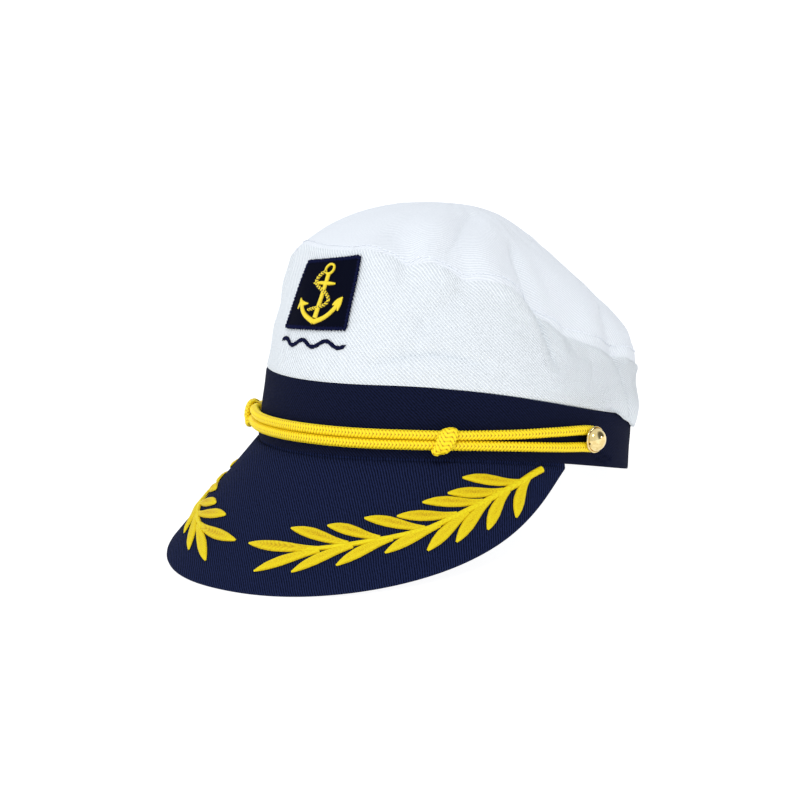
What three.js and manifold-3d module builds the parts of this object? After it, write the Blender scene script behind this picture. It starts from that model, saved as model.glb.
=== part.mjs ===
// Captain hat, in millimetres.
// It is drawn in the band's own frame: X to the wearer's left, Y to the back, Z up, with the origin at
// the middle of the band's rim. Angles run from the front towards the wearer's left. At the end the
// whole hat is tipped back until it rests on its visor and the back of its rim, as it does on a table.
import * as THREE from "three";
import { mergeVertices } from "three/addons/utils/BufferGeometryUtils.js";
import Module from "manifold-3d";

const wasm = await Module();
wasm.setup();

// Head size and band
const BAND_LENGTH = 190.4;
const BAND_WIDTH = 178.4;
const BAND_FRONT_HEIGHT = 34;
const BAND_BACK_HEIGHT = 26.5;
const BAND_WALL = 2;
const BAND_TAPER = 0.01;
const RIM_SAG = 2.6;
const RIM_SKEW = 0.7;

// Crown cloth
const CROWN_WALL = 1.2;
const CROWN_FRONT_RISE = 63.5;
const CROWN_LEAN = 10;
const CROWN_BELLY = 2;
const CROWN_DOME = 2.4;
const CROWN_TOP_HEIGHT = 122.5;
const CROWN_TOP_FORWARD = 7.5;
const CROWN_POUCH = 2.6;
const CROWN_DROOP = 6;
const CROWN_PUFF = 4;
const CROWN_HOLLOW = 5.4;
const POUCH_FROM_DEG = 100;
const PUFF_FROM_DEG = 75;
// Around the crown, as shares of the rise, the lean inwards, the belly and the dome's roundness
const CROWN_STATIONS = [
  { deg: 0, rise: 1.0, lean: 1.1, belly: 1.0, dome: 0.98 },
  { deg: 22, rise: 0.984, lean: 0.9, belly: 0.5, dome: 0.86 },
  { deg: 40, rise: 0.906, lean: 0.7, belly: 0.0, dome: 1.1 },
  { deg: 56, rise: 0.827, lean: 0.8, belly: 0.5, dome: 1.04 },
  { deg: 73, rise: 0.748, lean: 1.2, belly: 1.0, dome: 0.98 },
  { deg: 90, rise: 0.528, lean: 1.0, belly: 1.0, dome: 0.92 },
  { deg: 110, rise: 0.472, lean: 0.55, belly: 0.75, dome: 0.85 },
  { deg: 135, rise: 0.409, lean: 0.05, belly: 0.25, dome: 0.78 },
  { deg: 160, rise: 0.441, lean: -0.1, belly: 0.75, dome: 0.82 },
  { deg: 180, rise: 0.457, lean: -0.1, belly: 1.0, dome: 0.87 },
];
// Soft folds: from one point to another, each as an angle and a level, where 0 to 1 climbs the side
// panel and 1 to 2 runs from the seam to the top's centre. Depth is a share of FOLD_DEPTH.
const FOLD_DEPTH = 2.2;
const FOLD_WIDTH = 6.5;
const FOLDS = [
  { deg: 33, level: 0.42, toDeg: 62, toLevel: 0.34, depth: 0.7 },
  { deg: 36, level: 1.0, toDeg: 41, toLevel: 0.5, depth: 0.7 },
  { deg: 55, level: 0.98, toDeg: 43, toLevel: 0.5, depth: 0.6 },
  { deg: 73, level: 1.0, toDeg: 82, toLevel: 0.25, depth: 0.9 },
  { deg: 108, level: 0.95, toDeg: 118, toLevel: 0.15, depth: 1.0 },
  { deg: 66, level: 1.1, toDeg: 72, toLevel: 1.55, depth: 0.9 },
  { deg: 38, level: 1.06, toDeg: 52, toLevel: 1.4, depth: 0.6 },
  { deg: 160, level: 0.9, toDeg: 168, toLevel: 0.25, depth: 0.8 },
  { deg: -68, level: 0.95, toDeg: -80, toLevel: 0.3, depth: 0.8 },
  { deg: -104, level: 0.9, toDeg: -98, toLevel: 0.25, depth: 0.7 },
  { deg: -140, level: 0.95, toDeg: -150, toLevel: 0.2, depth: 0.9 },
  { deg: -75, level: 1.1, toDeg: -66, toLevel: 1.5, depth: 0.7 },
];

// Visor
const VISOR_LENGTH = 78.6;
const VISOR_WALL = 2.6;
const VISOR_END_DEG = 88;
const VISOR_SLOPE_DEG = 57.6;
const VISOR_GAIN_DEG = 42;
const VISOR_BEND_DEG = -14.6;
const VISOR_FAN = 0.882;
const VISOR_ROUND = 3.02;
const VISOR_TAPER = 1.255;

// Cord, its two sliding knots and its two buttons
const CORD_RADIUS = 2.4;
const CORD_FRONT_HEIGHT = 9.2;
const KNOT_DEG = 48.5;
const KNOT_LENGTH = 9;
const KNOT_WALL = 3.2;
const KNOT_BACK = 0.6;
const KNOT_ROOM = 0.4;
const NUB_RADIUS = 2.1;
const BUTTON_DEG = 96;
const BUTTON_RADIUS = 6.5;
const BUTTON_RISE = 5.4;
const BUTTON_SHANK = 1.5;
// The pair's height above the rim as a share of its height in front, and how far its two strands
// have spread from side by side to the turn round the button
const CORD_STATIONS = [
  { deg: 0, height: 1.0, spread: 0 },
  { deg: 32, height: 0.96, spread: 0 },
  { deg: 54, height: 0.99, spread: 0 },
  { deg: 70, height: 1.09, spread: 0.3 },
  { deg: 84, height: 1.26, spread: 0.78 },
  { deg: BUTTON_DEG, height: 1.42, spread: 1 },
];

// Badge on the crown's front, with a wave line under it
const PATCH_WIDTH = 45.5;
const PATCH_HEIGHT = 35.5;
const PATCH_BELOW_SEAM = 4.2;
const PATCH_ACROSS = -1.5;
const PATCH_TURN_DEG = 5;
const PATCH_SKEW = 0.19;
const PATCH_SPREAD = 0.16;
const PATCH_THICK = 0.9;
const THREAD_RISE = 1.0;
const WAVE_WIDTH = 46;
const WAVE_LINE = 2.0;
const WAVE_BELOW_PATCH = 6.5;
const WAVE_ACROSS = 0.3;
const ANCHOR_SIZE = 30;
const ANCHOR_ACROSS = 2.8;
// The anchor's ring and its strokes of thread: x, y and width as shares of the anchor's size
const ANCHOR_RING = { x: -0.045, y: 0.4, radius: 0.1, hole: 0.045 };
const ANCHOR_STROKES = [
  [[-0.04, 0.32, 0.085], [-0.037, 0, 0.08], [-0.037, -0.4, 0.105]],
  [[-0.345, 0.175, 0.03], [-0.165, 0.18, 0.062], [0.065, 0.165, 0.062], [0.205, 0.155, 0.03]],
  [[-0.47, -0.14, 0.08], [-0.42, -0.255, 0.08], [-0.28, -0.365, 0.083], [-0.04, -0.465, 0.093]],
  [[-0.04, -0.465, 0.093], [0.18, -0.39, 0.083], [0.335, -0.27, 0.08], [0.415, -0.14, 0.08]],
  [[-0.565, -0.075, 0.02], [-0.475, -0.16, 0.087], [-0.315, -0.165, 0.02]],
  [[-0.555, -0.255, 0.027], [-0.515, -0.155, 0.067], [-0.565, -0.075, 0.02]],
  [[0.46, -0.07, 0.02], [0.385, -0.14, 0.1], [0.285, -0.19, 0.027]],
  [[0.425, -0.29, 0.027], [0.435, -0.18, 0.073], [0.46, -0.07, 0.02]],
  [[-0.1, 0.37, 0.053], [-0.205, 0.335, 0.057], [-0.28, 0.255, 0.057], [-0.275, 0.18, 0.057]],
  [[-0.275, 0.18, 0.057], [-0.18, 0.11, 0.057], [0, 0.03, 0.06], [0.105, -0.04, 0.057]],
  [[0.105, -0.04, 0.057], [0.165, -0.115, 0.057], [0.115, -0.18, 0.053], [0, -0.22, 0.053]],
  [[-0.03, -0.225, 0.053], [-0.135, -0.245, 0.053], [-0.245, -0.275, 0.04]],
];

// Laurel on the visor
const LEAF_WIDTH = 6;
const STEM_WIDTH = 3.4;
const RIGHT_SPRAY_DEG = 2.6;
// The stem from its cut end to the tip, as an angle and a share of the way out along the visor
const STEM = [
  { deg: 79, out: 0.17 },
  { deg: 71.8, out: 0.325 },
  { deg: 65, out: 0.405 },
  { deg: 58.8, out: 0.476 },
  { deg: 53.3, out: 0.534 },
  { deg: 47.7, out: 0.591 },
  { deg: 41.7, out: 0.615 },
  { deg: 34, out: 0.634 },
  { deg: 26, out: 0.66 },
  { deg: 19.4, out: 0.678 },
];
// Each leaf from its foot on the stem to its tip, and how far it bows to the band in leaf widths
const LEAVES = [
  { deg: 19.6, out: 0.678, tipDeg: 1.3, tipOut: 0.671, bow: 0.1 },
  { deg: 26.8, out: 0.648, tipDeg: 12.0, tipOut: 0.533, bow: 0.3 },
  { deg: 34.1, out: 0.622, tipDeg: 22.0, tipOut: 0.503, bow: 0.3 },
  { deg: 44.3, out: 0.594, tipDeg: 31.0, tipOut: 0.453, bow: 0.3 },
  { deg: 51.7, out: 0.535, tipDeg: 39.1, tipOut: 0.455, bow: 0.2 },
  { deg: 58.3, out: 0.468, tipDeg: 44.8, tipOut: 0.361, bow: 0.27 },
  { deg: 64.0, out: 0.402, tipDeg: 51.0, tipOut: 0.304, bow: 0.17 },
  { deg: 69.2, out: 0.345, tipDeg: 54.6, tipOut: 0.171, bow: 0.25 },
  { deg: 20.4, out: 0.688, tipDeg: 7.5, tipOut: 0.852, bow: 0.14 },
  { deg: 28.2, out: 0.664, tipDeg: 17.7, tipOut: 0.839, bow: 0.14 },
  { deg: 37.1, out: 0.634, tipDeg: 28.0, tipOut: 0.797, bow: 0.14 },
  { deg: 47.7, out: 0.6, tipDeg: 38.4, tipOut: 0.738, bow: 0.14 },
  { deg: 54.4, out: 0.54, tipDeg: 47.9, tipOut: 0.784, bow: 0 },
  { deg: 59.9, out: 0.476, tipDeg: 54.3, tipOut: 0.778, bow: 0 },
  { deg: 65.4, out: 0.42, tipDeg: 61.8, tipOut: 0.771, bow: 0 },
  { deg: 71.8, out: 0.345, tipDeg: 69.5, tipOut: 0.813, bow: 0 },
];

// Assembly
const GAP = 0.3;
const ROUND_STEPS = 64;
const REST_SINK = 0.5;

const RAD = Math.PI / 180;
const A = BAND_LENGTH / 2;
const B = BAND_WIDTH / 2;
const vec = (x, y, z) => new THREE.Vector3(x, y, z);
const clamp = (x, lo, hi) => Math.min(hi, Math.max(lo, x));
const smooth = (x) => {
  const t = clamp(x, 0, 1);
  return t * t * (3 - 2 * t);
};
const wrap = (deg) => ((((deg + 180) % 360) + 360) % 360) - 180;
const range = (n) => Array.from({ length: n }, (_, i) => i);

// A smooth curve through one column of a station table, level at both ends
function along(rows, column, deg) {
  const x = rows.map((r) => r.deg);
  const y = rows.map((r) => r[column]);
  const n = x.length - 1;
  const q = clamp(Math.abs(deg), x[0], x[n]);
  const step = (i) => (y[i + 1] - y[i]) / (x[i + 1] - x[i]);
  const slope = (i) => {
    if (i === 0 || i === n) return 0;
    const before = x[i] - x[i - 1];
    const after = x[i + 1] - x[i];
    return (step(i - 1) * after + step(i) * before) / (before + after);
  };
  let i = 0;
  while (i < n - 1 && q > x[i + 1]) i++;
  const h = x[i + 1] - x[i];
  const t = (q - x[i]) / h;
  return (
    (2 * t ** 3 - 3 * t ** 2 + 1) * y[i] +
    (t ** 3 - 2 * t ** 2 + t) * h * slope(i) +
    (3 * t ** 2 - 2 * t ** 3) * y[i + 1] +
    (t ** 3 - t ** 2) * h * slope(i + 1)
  );
}

// The band's rim, its top edge and its outer face
const rimHeight = (deg) => -RIM_SAG * Math.cos(2 * deg * RAD) - RIM_SKEW * Math.cos(3 * deg * RAD);
const bandHeight = (deg) =>
  BAND_FRONT_HEIGHT - (BAND_FRONT_HEIGHT - BAND_BACK_HEIGHT) * smooth((Math.abs(wrap(deg)) - 30) / 80);
const bandNormal = (deg) => vec(Math.sin(deg * RAD) / B, -Math.cos(deg * RAD) / A, 0).normalize();
function bandPoint(deg, height, off = 0) {
  const k = 1 - (BAND_TAPER * height) / bandHeight(deg);
  return vec(B * k * Math.sin(deg * RAD), -A * k * Math.cos(deg * RAD), rimHeight(deg) + height)
    .addScaledVector(bandNormal(deg), off);
}

// One soft rise and fall that starts at one level and is greatest at another
const swell = (v, start, peak) => {
  const w = Math.max(0, v - start) / (peak - start);
  return w * Math.exp(1 - w);
};

// The crown's smooth form: level 0 to 1 is the side panel, 1 to 2 the top panel
function crownForm(deg, level) {
  const d = Math.abs(wrap(deg));
  const rise = CROWN_FRONT_RISE * along(CROWN_STATIONS, "rise", d);
  const lean = CROWN_LEAN * along(CROWN_STATIONS, "lean", d);
  const foot = bandPoint(deg, bandHeight(deg)).add(vec(0, 0, GAP));
  const out = bandNormal(deg);
  if (level <= 1) {
    const belly = CROWN_BELLY * along(CROWN_STATIONS, "belly", d) * Math.sin(Math.PI * level ** 0.75);
    const back = smooth((d - POUCH_FROM_DEG) / 35);
    const pouch = CROWN_POUCH * back * swell(level, 0.03, 0.2) * (1 - level ** 4);
    const droop = CROWN_DROOP * back * swell(level, 0.03, 0.08);
    return foot.addScaledVector(out, belly + pouch - lean * level).add(vec(0, 0, rise * level - droop));
  }
  const u = level - 1;
  const seam = foot.addScaledVector(out, -lean).add(vec(0, 0, rise));
  const centre = vec(0, -CROWN_TOP_FORWARD, CROWN_TOP_HEIGHT);
  const dome = along(CROWN_STATIONS, "dome", d);
  const climb = 1 - (1 - u) ** (CROWN_DOME * (dome + (0.94 - dome) * smooth(u * 1.3)));
  const puff = CROWN_PUFF * smooth((d - PUFF_FROM_DEG) / 45) * swell(u, 0, 0.14) * (1 - u);
  const hollow = CROWN_HOLLOW * smooth((d - PUFF_FROM_DEG) / 45) * Math.sin(Math.PI * u) ** 3;
  return vec(
    seam.x + (centre.x - seam.x) * u,
    seam.y + (centre.y - seam.y) * u,
    seam.z + (centre.z - seam.z) * climb + puff - hollow,
  ).addScaledVector(out, 0.8 * puff);
}

// The outward direction of a surface given by two numbers
function normalOf(form, a, b, da, db) {
  const along1 = form(a + da, b).sub(form(a - da, b));
  const along2 = form(a, b + db).sub(form(a, b - db));
  return along1.cross(along2).normalize();
}

// How deep the folds press in at one place of the crown
function foldDepth(deg, level) {
  const flat = (d, v) => [d * RAD * A * (v > 1 ? 2 - v : 1), 0.8 * v * CROWN_FRONT_RISE];
  let depth = 0;
  for (const f of FOLDS) {
    const from = flat(f.deg, f.level);
    const run = flat(f.toDeg, f.toLevel).map((v, k) => v - from[k]);
    const here = flat(f.deg + wrap(deg - f.deg), level).map((v, k) => v - from[k]);
    const t = clamp((here[0] * run[0] + here[1] * run[1]) / (run[0] ** 2 + run[1] ** 2), 0, 1);
    const far = Math.hypot(here[0] - run[0] * t, here[1] - run[1] * t);
    depth += f.depth * (0.3 + 0.7 * Math.sin(Math.PI * t)) * Math.exp(-((far / FOLD_WIDTH) ** 2));
  }
  const seamHold = smooth(Math.abs(level - 1) / 0.12);
  const edgeHold = smooth(level / 0.15) * smooth((1.85 - level) / 0.3);
  return FOLD_DEPTH * depth * seamHold * edgeHold;
}

function crownPoint(deg, level, off = 0) {
  const p = crownForm(deg, level);
  const top = level > 1;
  const probe = top ? clamp(level, 1.004, 1.9) : clamp(level, 0.004, 0.996);
  const out = normalOf(crownForm, deg, probe, 0.5, 0.003);
  return p.addScaledVector(out, off - foldDepth(deg, level));
}

// The visor's upper face: how far it reaches at one angle, and a place some share of the way out
const visorReach = (deg) =>
  VISOR_LENGTH * (1 - (Math.abs(deg) / (VISOR_END_DEG + 2)) ** VISOR_ROUND) ** VISOR_TAPER;
function visorPoint(deg, out, off = 0) {
  const form = (d, s) => {
    const reach = visorReach(d);
    const slope =
      VISOR_SLOPE_DEG +
      VISOR_GAIN_DEG * (1 - Math.cos(d * RAD)) +
      VISOR_BEND_DEG * (1 - Math.cos(2 * d * RAD));
    const turn = VISOR_FAN * d * RAD;
    const flat = Math.cos(slope * RAD) * reach * s;
    return bandPoint(d, 0, -GAP).add(
      vec(flat * Math.sin(turn), -flat * Math.cos(turn), -Math.sin(slope * RAD) * reach * s - 1.3 * GAP),
    );
  };
  const probe = clamp(deg, -VISOR_END_DEG + 1, VISOR_END_DEG - 1);
  const normal = normalOf(form, probe, Math.max(out, 0.1), 0.5, 0.02);
  if (normal.z < 0) normal.negate();
  return form(deg, out).addScaledVector(normal, off);
}

// A closed surface from points and triangles, with its faces turned outwards
function surface(points, faces) {
  const volume = faces.reduce((sum, [a, b, c]) => sum + points[a].dot(vec(0, 0, 0).crossVectors(points[b], points[c])), 0);
  const geometry = new THREE.BufferGeometry().setFromPoints(points);
  geometry.setIndex(faces.flatMap(([a, b, c]) => (volume < 0 ? [a, c, b] : [a, b, c])));
  return geometry;
}

// A closed shell between an outer and an inner grid of points. Rows run one way, columns the other.
// A closed grid joins its last column to its first. A pole closes the last row to one point.
function shell(outer, inner, closed, pole = false) {
  const rows = outer.length;
  const cols = outer[0].length;
  const points = [];
  const spots = [outer, inner].map((grid) =>
    grid.map((row, r) => {
      if (pole && r === rows - 1) return row.map(() => points.length).fill(points.push(row[0]) - 1);
      return row.map((p) => points.push(p) - 1);
    }),
  );
  const at = (side, r, c) => spots[side][r][closed ? (c + cols) % cols : c];
  const faces = [];
  const quad = (a, b, c, d) => {
    if (a !== b && b !== c && a !== c) faces.push([a, b, c]);
    if (a !== c && c !== d && a !== d) faces.push([a, c, d]);
  };
  const last = closed ? cols : cols - 1;
  for (let c = 0; c < last; c++) {
    for (let r = 0; r < rows - 1; r++) {
      quad(at(0, r, c), at(0, r, c + 1), at(0, r + 1, c + 1), at(0, r + 1, c));
      quad(at(1, r, c), at(1, r + 1, c), at(1, r + 1, c + 1), at(1, r, c + 1));
    }
    quad(at(0, 0, c), at(1, 0, c), at(1, 0, c + 1), at(0, 0, c + 1));
    if (!pole) quad(at(0, rows - 1, c), at(0, rows - 1, c + 1), at(1, rows - 1, c + 1), at(1, rows - 1, c));
  }
  for (let r = 0; !closed && r < rows - 1; r++) {
    quad(at(0, r, 0), at(0, r + 1, 0), at(1, r + 1, 0), at(1, r, 0));
    quad(at(0, r, cols - 1), at(1, r, cols - 1), at(1, r + 1, cols - 1), at(0, r + 1, cols - 1));
  }
  return surface(points, faces);
}

// Joins and cuts of closed geometries
function solidOf(geometry) {
  const bare = geometry.clone();
  bare.deleteAttribute("normal");
  bare.deleteAttribute("uv");
  const merged = mergeVertices(bare, 1e-4);
  return new wasm.Manifold(
    new wasm.Mesh({
      numProp: 3,
      vertProperties: merged.attributes.position.array,
      triVerts: new Uint32Array(merged.index.array),
    }),
  );
}
function drawn(made) {
  const mesh = made.getMesh();
  const geometry = new THREE.BufferGeometry();
  geometry.setAttribute("position", new THREE.BufferAttribute(new Float32Array(mesh.vertProperties), 3));
  return geometry.setIndex([...mesh.triVerts]);
}
const join = (pieces) => drawn(pieces.map(solidOf).reduce((sum, piece) => sum.add(piece)));
const cut = (piece, tool) => drawn(solidOf(piece).subtract(solidOf(tool)));

// Flat artwork bent over a surface: place turns x across, y up and z off it into a point
function bent(geometry, place) {
  const spots = geometry.attributes.position;
  for (const i of range(spots.count)) {
    const p = place(spots.getX(i), spots.getY(i), spots.getZ(i));
    spots.setXYZ(i, p.x, p.y, p.z);
  }
  return geometry;
}

// A round bar along a path, closed or with flat ends; side gives its half width in two directions
function bar(path, closed, sides, half) {
  const n = path.length;
  const pts = [];
  path.forEach((p, i) => {
    const [wide, high] = half(i);
    for (const k of range(sides)) {
      const a = ((k + 0.5) / sides) * 2 * Math.PI;
      pts.push(
        p.at.clone().addScaledVector(p.out, high * Math.sin(a)).addScaledVector(p.across, wide * Math.cos(a)),
      );
    }
  });
  const faces = [];
  const at = (i, k) => ((i + n) % n) * sides + ((k + sides) % sides);
  for (let i = 0; i < (closed ? n : n - 1); i++)
    for (let k = 0; k < sides; k++)
      faces.push([at(i, k), at(i, k + 1), at(i + 1, k + 1)], [at(i, k), at(i + 1, k + 1), at(i + 1, k)]);
  if (!closed)
    for (const k of range(sides - 2)) {
      faces.push([at(0, 0), at(0, k + 2), at(0, k + 1)]);
      faces.push([at(n - 1, 0), at(n - 1, k + 1), at(n - 1, k + 2)]);
    }
  return surface(pts, faces);
}

// Frames along a run of points: where it is, which way is out and which way is across
function framed(points, outs, closed) {
  const n = points.length;
  return points.map((p, i) => {
    const before = points[closed ? (i + n - 1) % n : Math.max(0, i - 1)];
    const after = points[closed ? (i + 1) % n : Math.min(n - 1, i + 1)];
    const ahead = after.clone().sub(before).normalize();
    const out = outs[i].clone().addScaledVector(ahead, -outs[i].dot(ahead)).normalize();
    return { at: p, out, across: ahead.clone().cross(out).normalize() };
  });
}

// Band
const around = range(ROUND_STEPS).map((i) => (i * 360) / ROUND_STEPS);
function makeBand() {
  const levels = [0, 1];
  const outer = levels.map((v) => around.map((d) => bandPoint(d, v * bandHeight(d))));
  const inner = levels.map((v) => around.map((d) => bandPoint(d, v * bandHeight(d), -BAND_WALL)));
  return shell(outer, inner, true);
}

// Crown panels: the wall is set inwards along the surface, and level with it at a cut edge
const SIDE_LEVELS = [0, 0.04, 0.085, 0.16, 0.3, 0.47, 0.65, 0.83, 1];
const TOP_LEVELS = [1, 1.08, 1.19, 1.32, 1.47, 1.62, 1.77, 1.91, 2];
function crownPanel(levels, lift) {
  const grid = (wall) =>
    levels.map((v, r) =>
      around.map((d) => {
        const p = crownPoint(d, v).add(vec(0, 0, lift));
        const edge = v === 0 || v === 1;
        const probe = v === 0 ? 0.02 : v === 1 && r === 0 ? 1.01 : v === 1 ? 0.99 : clamp(v, 0.01, 1.9);
        const out = v === 2 ? vec(0, 0, 1) : normalOf(crownPoint, d, probe, 1.5, v > 1 ? 0.02 : 0.008);
        if (!edge) return p.addScaledVector(out, -wall);
        const level = vec(out.x, out.y, 0);
        return p.addScaledVector(level.clone().normalize(), -wall / Math.max(0.45, level.length()));
      }),
    );
  return shell(grid(0), grid(CROWN_WALL), true, levels[levels.length - 1] === 2);
}

// Visor
function makeVisor() {
  const degs = range(37).map((i) => (VISOR_END_DEG * Math.sin(((i - 18) / 18) * 65 * RAD)) / Math.sin(65 * RAD));
  const shares = [0, 0.25, 0.5, 0.75, 0.96, 1];
  const grid = (off) => shares.map((s) => degs.map((d) => visorPoint(d, s, off - (s === 1 ? VISOR_WALL * 0.2 * (off ? -1 : 1) : 0))));
  return shell(grid(0), grid(-VISOR_WALL), false);
}

// Cord: both strands and the turn round each button's shank, as one closed loop
const cordHeight = (deg) => CORD_FRONT_HEIGHT * along(CORD_STATIONS, "height", deg);
const STRAND_HALF = CORD_RADIUS + 0.7 * GAP;
const TURN_RADIUS = BUTTON_SHANK + GAP + CORD_RADIUS;
const strandHalf = (deg) => STRAND_HALF + (TURN_RADIUS - STRAND_HALF) * along(CORD_STATIONS, "spread", deg);
const mmToDeg = (mm) => mm / (B * RAD);
const cordLift = (deg) => {
  const away = Math.abs(Math.abs(deg) - KNOT_DEG) - mmToDeg(0.78 * KNOT_LENGTH);
  return (KNOT_BACK + KNOT_ROOM) * (1 - smooth(away / mmToDeg(1.55 * KNOT_LENGTH)));
};
function makeCord(radius) {
  const points = [];
  const outs = [];
  const steps = 40;
  const lay = (deg, height, lift) => {
    points.push(bandPoint(deg, height, GAP + CORD_RADIUS + lift));
    outs.push(bandNormal(deg));
  };
  for (const way of [1, -1]) {
    for (const i of range(steps + 1)) {
      const deg = way * BUTTON_DEG * (-1 + (2 * i) / steps);
      lay(deg, cordHeight(deg) - way * strandHalf(deg), cordLift(deg));
    }
    for (const i of range(5)) {
      const a = ((i + 1) / 6) * Math.PI;
      const deg = way * (BUTTON_DEG + mmToDeg(Math.sin(a) * TURN_RADIUS));
      lay(deg, cordHeight(BUTTON_DEG) - way * TURN_RADIUS * Math.cos(a), 0);
    }
  }
  return bar(framed(points, outs, true), true, 6, () => [radius, radius]);
}

// Knot: one broad slanting winding round both strands, and the cord's tucked end as a nub below
function makeKnot(side) {
  const middle = side * KNOT_DEG;
  const out = bandNormal(middle);
  const up = vec(0, 0, 1);
  const back = vec(B * Math.cos(middle * RAD), A * Math.sin(middle * RAD), 0).normalize().multiplyScalar(side);
  const front = (a) => Math.max(0, Math.cos(a));
  const wall = (a) => KNOT_BACK + (KNOT_WALL - KNOT_BACK) * front(a);
  const reach = (a) => wall(a) / 2 + KNOT_ROOM + CORD_RADIUS;
  const centre = bandPoint(middle, cordHeight(middle), GAP + KNOT_BACK + KNOT_ROOM + CORD_RADIUS);
  const place = (x, y, z) =>
    centre.clone().addScaledVector(out, x).addScaledVector(up, y).addScaledVector(back, z + 0.36 * y);
  const turns = range(16).map((i) => (i / 16) * 2 * Math.PI);
  const spots = turns.map((a) => {
    const strand = Math.sign(Math.round(Math.sin(a) * 99)) * STRAND_HALF;
    return place(Math.cos(a) * reach(a), Math.sin(a) * reach(a) + strand, 0.06 * KNOT_LENGTH);
  });
  const outs = turns.map((a) => vec(0, 0, 0).addScaledVector(out, Math.cos(a)).addScaledVector(up, Math.sin(a)));
  const winding = bar(framed(spots, outs, true), true, 8, (i) => [
    KNOT_LENGTH * (0.36 + 0.08 * front(turns[i])),
    wall(turns[i]) / 2,
  ]);
  const nub = new THREE.SphereGeometry(NUB_RADIUS, 8, 5);
  const low = place(CORD_RADIUS, -reach(Math.PI / 2) - STRAND_HALF, -0.22 * KNOT_LENGTH);
  nub.translate(low.x, low.y, low.z);
  return join([cut(nub, makeCord(CORD_RADIUS + GAP)), winding]);
}

// Button: a turned dome on a plain shank, standing over the cord's turn
function makeButton() {
  const under = 2 * GAP + 2 * CORD_RADIUS;
  const dome = range(5).map((i) => {
    const a = (i / 4) * 90 * RAD;
    return new THREE.Vector2(
      i === 4 ? 0 : BUTTON_RADIUS * Math.cos(a),
      under + 0.15 * BUTTON_RISE + 0.85 * BUTTON_RISE * Math.sin(a),
    );
  });
  const shank = [
    new THREE.Vector2(0, GAP),
    new THREE.Vector2(BUTTON_SHANK, GAP),
    new THREE.Vector2(BUTTON_SHANK, under),
    new THREE.Vector2(0.9 * BUTTON_RADIUS, under),
  ];
  return new THREE.LatheGeometry([...shank, ...dome], 16);
}

// A place on the crown's front: x across, y up from the patch's middle, z off the cloth
function frontSpot(x, y, z) {
  const turn = PATCH_TURN_DEG * RAD;
  const wide = x * (1 - (PATCH_SPREAD * y) / PATCH_HEIGHT);
  const high = y * (1 + (0.5 * PATCH_SPREAD * x) / PATCH_WIDTH);
  const middle = CROWN_FRONT_RISE - PATCH_BELOW_SEAM - PATCH_HEIGHT / 2;
  const across = PATCH_ACROSS + wide * Math.cos(turn) + high * (PATCH_SKEW - Math.sin(turn));
  const level = (middle + x * Math.sin(turn) + high * Math.cos(turn)) / CROWN_FRONT_RISE;
  return crownPoint(mmToDeg(across), level, 1.3 * GAP + z);
}

// A line of thread, raised off the cloth, through points that each have a width
function strokeOf(points, thick) {
  const offset = ([x, y, w], [fx, fy], [tx, ty], side) => {
    const long = Math.hypot(tx - fx, ty - fy);
    return [x - (side * w * (ty - fy)) / (2 * long), y + (side * w * (tx - fx)) / (2 * long)];
  };
  const row = (side) =>
    points.map((p, i) => offset(p, points[Math.max(0, i - 1)], points[Math.min(points.length - 1, i + 1)], side));
  const outline = [...row(-1), ...row(1).reverse()].map(([x, y]) => new THREE.Vector2(x, y));
  return new THREE.ExtrudeGeometry(new THREE.Shape(outline), { depth: thick, bevelEnabled: false });
}

function makeAnchor() {
  const circle = (radius, turns) => new THREE.Path().absarc(
    ANCHOR_RING.x * ANCHOR_SIZE,
    ANCHOR_RING.y * ANCHOR_SIZE,
    radius * ANCHOR_SIZE,
    0,
    turns * 2 * Math.PI,
    turns < 0,
  );
  const ring = new THREE.Shape(circle(ANCHOR_RING.radius, 1).getPoints(7));
  ring.holes.push(new THREE.Path(circle(ANCHOR_RING.hole, -1).getPoints(5)));
  const strokes = ANCHOR_STROKES.map((points) =>
    strokeOf(points.map((p) => p.map((v) => v * ANCHOR_SIZE)), THREAD_RISE),
  );
  const flat = join([new THREE.ExtrudeGeometry(ring, { depth: THREAD_RISE, bevelEnabled: false }), ...strokes]);
  return bent(flat, (x, y, z) => frontSpot(x + ANCHOR_ACROSS, y, z + PATCH_THICK + GAP));
}

const makePatch = () =>
  bent(new THREE.BoxGeometry(PATCH_WIDTH, PATCH_HEIGHT, PATCH_THICK, 6, 4, 1), (x, y, z) =>
    frontSpot(x, y, z + PATCH_THICK / 2),
  );

function makeWave() {
  const steps = 30;
  const points = range(steps + 1).map((i) => [
    WAVE_WIDTH * (i / steps - 0.5),
    0.033 * WAVE_WIDTH * Math.sin((i / steps) * 6 * Math.PI),
    WAVE_LINE,
  ]);
  const middle = PATCH_HEIGHT / 2 + WAVE_BELOW_PATCH;
  return bent(strokeOf(points, 0.8 * THREAD_RISE), (x, y, z) => frontSpot(x + WAVE_ACROSS, y - middle, z));
}

// Laurel: a low ridge along a run of spots on the visor, with its own width at each
function ridge(spots, widths, high) {
  const at = spots.map((p) => visorPoint(p.deg, p.out, 1.5 * GAP));
  const outs = spots.map((p) => visorPoint(p.deg, p.out, 1).sub(visorPoint(p.deg, p.out, 0)).normalize());
  const pts = framed(at, outs, false).flatMap((p, i) =>
    [[-0.5, 0], [0.5, 0], [0.28, 1], [-0.28, 1]].map(([x, z]) =>
      p.at.clone().addScaledVector(p.across, x * widths[i]).addScaledVector(p.out, z * high),
    ),
  );
  const faces = [];
  const last = (spots.length - 1) * 4;
  for (let i = 0; i < last; i += 4)
    for (const j of range(4)) {
      const next = i + ((j + 1) % 4);
      faces.push([i + j, next, next + 4], [i + j, next + 4, i + j + 4]);
    }
  for (const j of [1, 2]) faces.push([0, j + 1, j], [last, last + j, last + j + 1]);
  return surface(pts, faces);
}

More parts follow.
